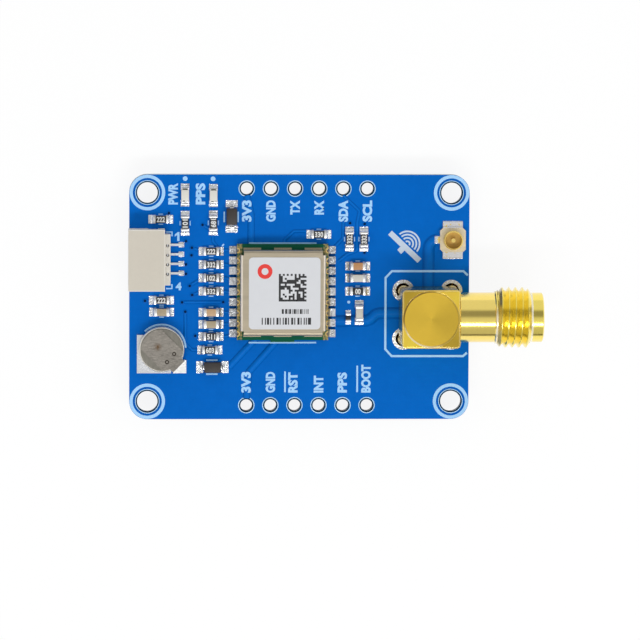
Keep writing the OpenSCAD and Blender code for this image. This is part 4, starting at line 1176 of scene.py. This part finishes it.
coax_low, coax_high = (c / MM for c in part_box("coax_base"))
coax_x, coax_y = ((coax_low + coax_high) / 2).xy
shell_inner = 0.9
tail_start = coax_low.x - 0.2
cream, cream_inside = (0.72, 0.63, 0.46, 1), (0.62, 0.4, 0.085, 1)
solder_grey = (0.8, 0.78, 0.78, 1)
blot_limit = 0.36
coax_cream = grained(
    "coax_cream", cream, 0.48, tone=0.3, spread=0.1, stretch=3500, relief=0.01,
)
tree = coax_cream.node_tree
inside = calc(tree, "LESS_THAN", from_upright(tree, coax_x, coax_y), shell_inner * MM)
tint(tree, inside, cream_inside)
dress("coax_base", coax_cream)
shell_gilt = grained(
    "shell_gilt", (0.92, 0.68, 0.2, 1), 0.26, metallic=1.0,
    tone=0.14, spread=0.12, stretch=4500, relief=0.006,
)
tree = shell_gilt.node_tree
place = place_on(tree)
off_middle = off_from(tree, part_of(tree, place, "Y"), coax_y)
on_tab = calc(tree, "GREATER_THAN", off_middle, (coax_high.y - coax_y) * MM)
on_tail = calc(tree, "LESS_THAN", part_of(tree, place, "X"), tail_start * MM)
blots = calc(tree, "GREATER_THAN", speckle(tree, 2600), blot_limit)
wetted = calc(tree, "MULTIPLY", calc(tree, "MAXIMUM", on_tab, on_tail), blots)
tint(tree, wetted, solder_grey)
for node in ("coax_shell", "coax_contact"):
    dress(node, shell_gilt)


# Chip resistors: white alumina slips with a black glazed coat on top, tinned caps folded round
# both ends, and a value printed on the coat in plain numerals.

printed_values = "222 101 681 222 332 102 332 511 603 222 330 332 332 00".split()
resistor_values = {f"resistor_r{i}": digits for i, digits in enumerate(printed_values, 1)}
chip_l, chip_w = 1.6, 0.8
resistor_h = 0.45
digit_wide, digit_high, digit_thick, digit_bold = 0.29, 0.56, 0.014, 0.035


def seat(node):
    """Middle of a chip on its pads in mm, and its turn: 90 degrees where it lies along Y."""
    low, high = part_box(node)
    middle = (low + high) / 2 / MM
    along_x = high.x - low.x > high.y - low.y
    return middle.x, middle.y, low.z / MM, 0 if along_x else 90


def block(bm, size, middle, edge):
    """Draws a box in mm with softened edges, by its size and the middle of its base."""
    verts = bmesh.ops.create_cube(bm, size=1.0)["verts"]
    bmesh.ops.scale(bm, vec=size, verts=verts)
    bmesh.ops.translate(bm, vec=(middle[0], middle[1], middle[2] + size[2] / 2), verts=verts)
    edges = list({e for v in verts for e in v.link_edges})
    bmesh.ops.bevel(bm, geom=edges, offset=edge, segments=2, affect="EDGES", profile=0.5)


def ends_of(l, w, h, cap, edge):
    """A function that draws the two caps of a chip."""
    def draw(bm):
        for side in (-1, 1):
            block(bm, (cap, w, h), (side * (l - cap) / 2, 0, 0), edge)
    return draw


def box_of(l, w, h, base, edge):
    """A function that draws a box on a chip's middle, from a base height."""
    return lambda bm: block(bm, (l, w, h), (0, 0, base), edge)


chip_tin = grained(
    "chip_tin", (0.88, 0.88, 0.88, 1), 0.3, metallic=1.0, tone=0.16, spread=0.16, stretch=7000, relief=0.014,
)
alumina = grained("alumina", (0.74, 0.74, 0.72, 1), 0.5, tone=0.08, stretch=8000, relief=0.008)
black_glaze = grained(
    "black_glaze", (0.016, 0.016, 0.018, 1), 0.35, tone=0.25, spread=0.14, stretch=5000, relief=0.008,
)
resistors = list(resistor_values)
seats = [seat(n) for n in resistors]
copies("resistor_caps", ends_of(chip_l, chip_w, resistor_h, 0.26, 0.035), seats, chip_tin)
copies("resistor_slips", box_of(1.54, 0.76, 0.4, 0.02, 0.01), seats, alumina)
coats = copies("resistor_coats", box_of(1.13, 0.76, 0.06, 0.39, 0.025), seats, black_glaze)
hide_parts(*resistors)
value_ink = grained("value_ink", (0.78, 0.78, 0.76, 1), 0.6, tone=0.1, stretch=15000, relief=0.002)


def resistor_numerals(bm):
    for node, digits in resistor_values.items():
        x, y, base, turn = seat(node)
        wide = digit_wide * len(digits)
        add_words(bm, digits, (x, y), wide, digit_high, digit_thick, base + resistor_h, turn, digit_bold)


one_piece("resistor_numerals", resistor_numerals, value_ink)


# Chip capacitors and inductors: fired blocks with rounded edges and dipped, tinned ends. The
# capacitors are tan to grey by their ceramic, the inductors pale grey.

block_ends = ends_of(chip_l, chip_w, 0.75, 0.32, 0.07)
block_core = box_of(1.5, 0.76, 0.71, 0.02, 0.05)
for name, members, colour in [
    ("tan_capacitor", ["capacitor_c1"], (0.56, 0.36, 0.2, 1)),
    ("orange_capacitor", ["capacitor_c4"], (0.5, 0.25, 0.1, 1)),
    ("grey_capacitor", ["capacitor_c2", "capacitor_c3"], (0.42, 0.34, 0.22, 1)),
    ("pale_inductor", ["inductor_l1", "inductor_l2"], (0.62, 0.6, 0.55, 1)),
]:
    places = [seat(n) for n in members]
    fired = grained(name, colour, 0.42, tone=0.14, spread=0.12, stretch=6000, relief=0.01)
    copies(name + "_ends", block_ends, places, chip_tin)
    cores = copies(name + "_blocks", block_core, places, fired)
    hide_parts(*members)


# Surge arrester: the smallest chip, a black ceramic slip between two bright ends, laid and
# soldered like the resistors.

arrester_seat = [seat("arrester_d3")]
copies("arrester_ends", ends_of(1.0, 0.55, 0.4, 0.27, 0.03), arrester_seat, chip_tin)
arrester_core = copies("arrester_slip", box_of(0.94, 0.52, 0.37, 0.015, 0.03), arrester_seat, black_glaze)
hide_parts("arrester_d3")


# Diodes: black epoxy bodies moulded round a lead frame, with sides that lean in from the parting
# line, and two tinned leads bent down to the pads.

diodes = ["diode_d1", "diode_d2"]


def diode_body(bm):
    half, draft, high, long, lift, edge = 0.58, 0.08, 0.9, 1.78, 0.05, 0.025
    section = [
        (half - draft, lift), (half, high / 2), (half - draft, high),
        (draft - half, high), (-half, high / 2), (draft - half, lift),
    ]
    left = [bm.verts.new((-long / 2 + (draft if z != high / 2 else 0), y, z)) for y, z in section]
    right = [bm.verts.new((long / 2 - (draft if z != high / 2 else 0), y, z)) for y, z in section]
    for i in range(6):
        n = (i + 1) % 6
        bm.faces.new((left[i], left[n], right[n], right[i]))
    for end in (left, right):
        bm.faces.new((end[0], end[1], end[4], end[5]))
        bm.faces.new((end[1], end[2], end[3], end[4]))
    bmesh.ops.recalc_face_normals(bm, faces=bm.faces)
    bmesh.ops.bevel(bm, geom=list(bm.edges), offset=edge, segments=2, affect="EDGES", profile=0.5)


def diode_leads(bm):
    thick, wide, out, bend, mid, root, edge = 0.12, 0.4, 1.275, 0.975, 0.45, 0.8, 0.02
    for side in (-1, 1):
        block(bm, (bend + thick - root, wide, thick), (side * (bend + thick + root) / 2, 0, mid), edge)
        block(bm, (thick, wide, mid + thick), (side * (bend + thick / 2), 0, 0), edge)
        block(bm, (out - bend, wide, thick), (side * (out + bend) / 2, 0, 0), edge)


diode_seats = [seat(n) for n in diodes]
black_epoxy = grained(
    "black_epoxy", (0.034, 0.027, 0.024, 1), 0.5, tone=0.3, spread=0.12, stretch=9000, relief=0.012,
)
bodies = copies("diode_bodies", diode_body, diode_seats, black_epoxy)
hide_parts(*diodes)
copies("diode_leads", diode_leads, diode_seats, bright_tin)


# Lamps: light-emitting chips on a white carrier with half-round tinned ends, under a milky lens
# that is moulded on and sawn flush at the sides. Dark green marks tell the poles apart.

lamps = ["power_lamp", "pulse_lamp"]
lamp_seats = [seat(n) for n in lamps]


def lamp_ends(bm):
    for side in (-1, 1):
        block(bm, (0.24, 0.79, 0.02), (side * 0.67, 0, 0.29), 0.008)
        block(bm, (0.05, 0.3, 0.28), (side * 0.6, 0, 0.02), 0.01)


def lamp_marks(bm):
    block(bm, (0.13, 0.5, 0.012), (0.62, 0, 0.305), 0.004)
    block(bm, (0.1, 0.22, 0.012), (-0.63, 0.12, 0.305), 0.004)


milky_lens = grained(
    "milky_lens", (0.76, 0.74, 0.68, 1), 0.25, tone=0.08, spread=0.08, stretch=4000, relief=0.006,
)
carrier_white = grained("carrier_white", (0.7, 0.68, 0.6, 1), 0.5, tone=0.08, stretch=6000, relief=0.008)
mark_green = grained("mark_green", (0.1, 0.115, 0.085, 1), 0.55, tone=0.5, stretch=9000, relief=0.006)
carriers = copies("lamp_carriers", box_of(1.58, 0.8, 0.3, 0, 0.015), lamp_seats, carrier_white)
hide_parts(*lamps)
copies("lamp_ends", lamp_ends, lamp_seats, chip_tin)
copies("lamp_marks", lamp_marks, lamp_seats, mark_green)
copies("lamp_lenses", box_of(1.1, 0.8, 0.35, 0.3, 0.03), lamp_seats, milky_lens)


# Chip marks: short strokes of the legend beside each chip, printed with the rest of the legend
# and left showing between the chip and its neighbours.

mark_off, mark_half, mark_width = 0.53, 0.24, 0.1
chip_marks = []
for node in resistors + ["capacitor_c1", "capacitor_c2", "capacitor_c3", "capacitor_c4"]:
    x, y, _, turn = seat(node)
    for side in (-mark_off, mark_off):
        if turn:
            chip_marks.append([(x + side, y - mark_half), (x + side, y + mark_half)])
        else:
            chip_marks.append([(x - mark_half, y + side), (x + mark_half, y + side)])
strips("chip_marks", chip_marks, mark_width, ink_rise, legend_ink, smooth=False)


# Studio: a plain white floor under the board, a long softbox in front, a softbox on each side and
# a pale surround that is darker overhead and low in front. The camera looks down from above.

floor_z = cad_box[0].z
floor_half = 0.6
floor_paint = (0.86, 0.86, 0.86, 1)
floor_glow, glow_share = 1.03, 0.85
sky_colour, sky_level = (0.98, 0.99, 1.0, 1), 0.72
overhead_from, overhead_to, overhead_dim = -0.05, 0.22, 0.42
back_from, back_to, back_lift = 0.5, 0.68, 0.48
front_edge, front_dim = -0.4, 0.16
low_edge, low_dim = 0.16, 0.46
floor_mesh = bpy.data.meshes.new("floor")
corners = [(-1, -1), (1, -1), (1, 1), (-1, 1)]
floor_mesh.from_pydata([(x * floor_half, y * floor_half, floor_z) for x, y in corners], [], [(0, 1, 2, 3)])
floor = new_object("floor", floor_mesh)
floor_white = bpy.data.materials.new("floor_white")
floor_white.use_nodes = True
tree = floor_white.node_tree
tree.nodes.clear()
ray = put(tree, "ShaderNodeLightPath")
mirrored = calc(tree, "MAXIMUM", ray.outputs["Is Glossy Ray"], ray.outputs["Is Transmission Ray"])
seen = calc(tree, "MAXIMUM", ray.outputs["Is Camera Ray"], mirrored)
paint = put(tree, "ShaderNodeBsdfDiffuse", {"Color": floor_paint})
glow = put(tree, "ShaderNodeEmission", {"Color": (1, 1, 1, 1), "Strength": floor_glow})
mixed = put(tree, "ShaderNodeMixShader", {
    0: calc(tree, "MULTIPLY", seen, glow_share), 1: paint.outputs[0], 2: glow.outputs[0],
})
put(tree, "ShaderNodeOutputMaterial", {"Surface": mixed.outputs[0]})
floor_mesh.materials.append(floor_white)


def softbox(name, place, aim, size, watts):
    """A soft lamp at a place in mm, turned to face a point, with its width and depth in mm."""
    lamp = bpy.data.lights.new(name, "AREA")
    lamp.shape = "RECTANGLE"
    lamp.size, lamp.size_y = size[0] * MM, size[1] * MM
    lamp.energy = watts
    obj = new_object(name, lamp)
    obj.location = Vector(place) * MM
    obj.rotation_mode = "QUATERNION"
    obj.rotation_quaternion = (Vector(aim) - Vector(place)).to_track_quat("-Z", "Y")


softbox("front_softbox", (40, -250, 440), (5, 0, 2), (520, 60), 1.1)
softbox("left_softbox", (-420, 60, 300), (0, 0, 2), (220, 220), 0.16)
softbox("right_softbox", (430, 120, 320), (0, 0, 2), (200, 200), 0.3)
world = bpy.data.worlds.new("studio")
world.use_nodes = True
tree = world.node_tree
sky = tree.nodes["Background"]
towards = put(tree, "ShaderNodeSeparateXYZ", {0: put(tree, "ShaderNodeTexCoord").outputs["Generated"]})
to_back = towards.outputs["Y"]
dims = ramp(tree, to_back, overhead_from, overhead_to, 0.0, overhead_dim, "SMOOTHSTEP")
lifts = ramp(tree, to_back, back_from, back_to, 0.0, back_lift, "SMOOTHSTEP")
in_front = calc(tree, "LESS_THAN", to_back, front_edge)
low_down = calc(tree, "LESS_THAN", towards.outputs["Z"], low_edge)
wall = calc(tree, "ADD", calc(tree, "MULTIPLY", low_down, low_dim), front_dim)
skirting = calc(tree, "MULTIPLY", in_front, wall)
level = calc(tree, "ADD", calc(tree, "SUBTRACT", sky_level, dims), lifts)
level = calc(tree, "SUBTRACT", level, skirting)
sky.inputs["Color"].default_value = sky_colour
tree.links.new(level, sky.inputs["Strength"])
bpy.context.scene.world = world
bpy.context.scene.view_settings.view_transform = "Standard"

camera = bpy.data.cameras.new("camera")
camera.sensor_width = 36
camera.lens = 267.3
camera.clip_start, camera.clip_end = 0.01, 5
eye = Vector((-21.8, 37.5, 500.0)) * MM
aim = Vector((2.18, -2.42, 1.6)) * MM
view = new_object("camera", camera)
view.location = eye
ahead = (aim - eye).normalized()
right = ahead.cross(Vector((-0.0037, 1, 0))).normalized()
up = right.cross(ahead)
view.rotation_mode = "QUATERNION"
view.rotation_quaternion = Matrix((right, up, -ahead)).transposed().to_quaternion()
bpy.context.scene.camera = view
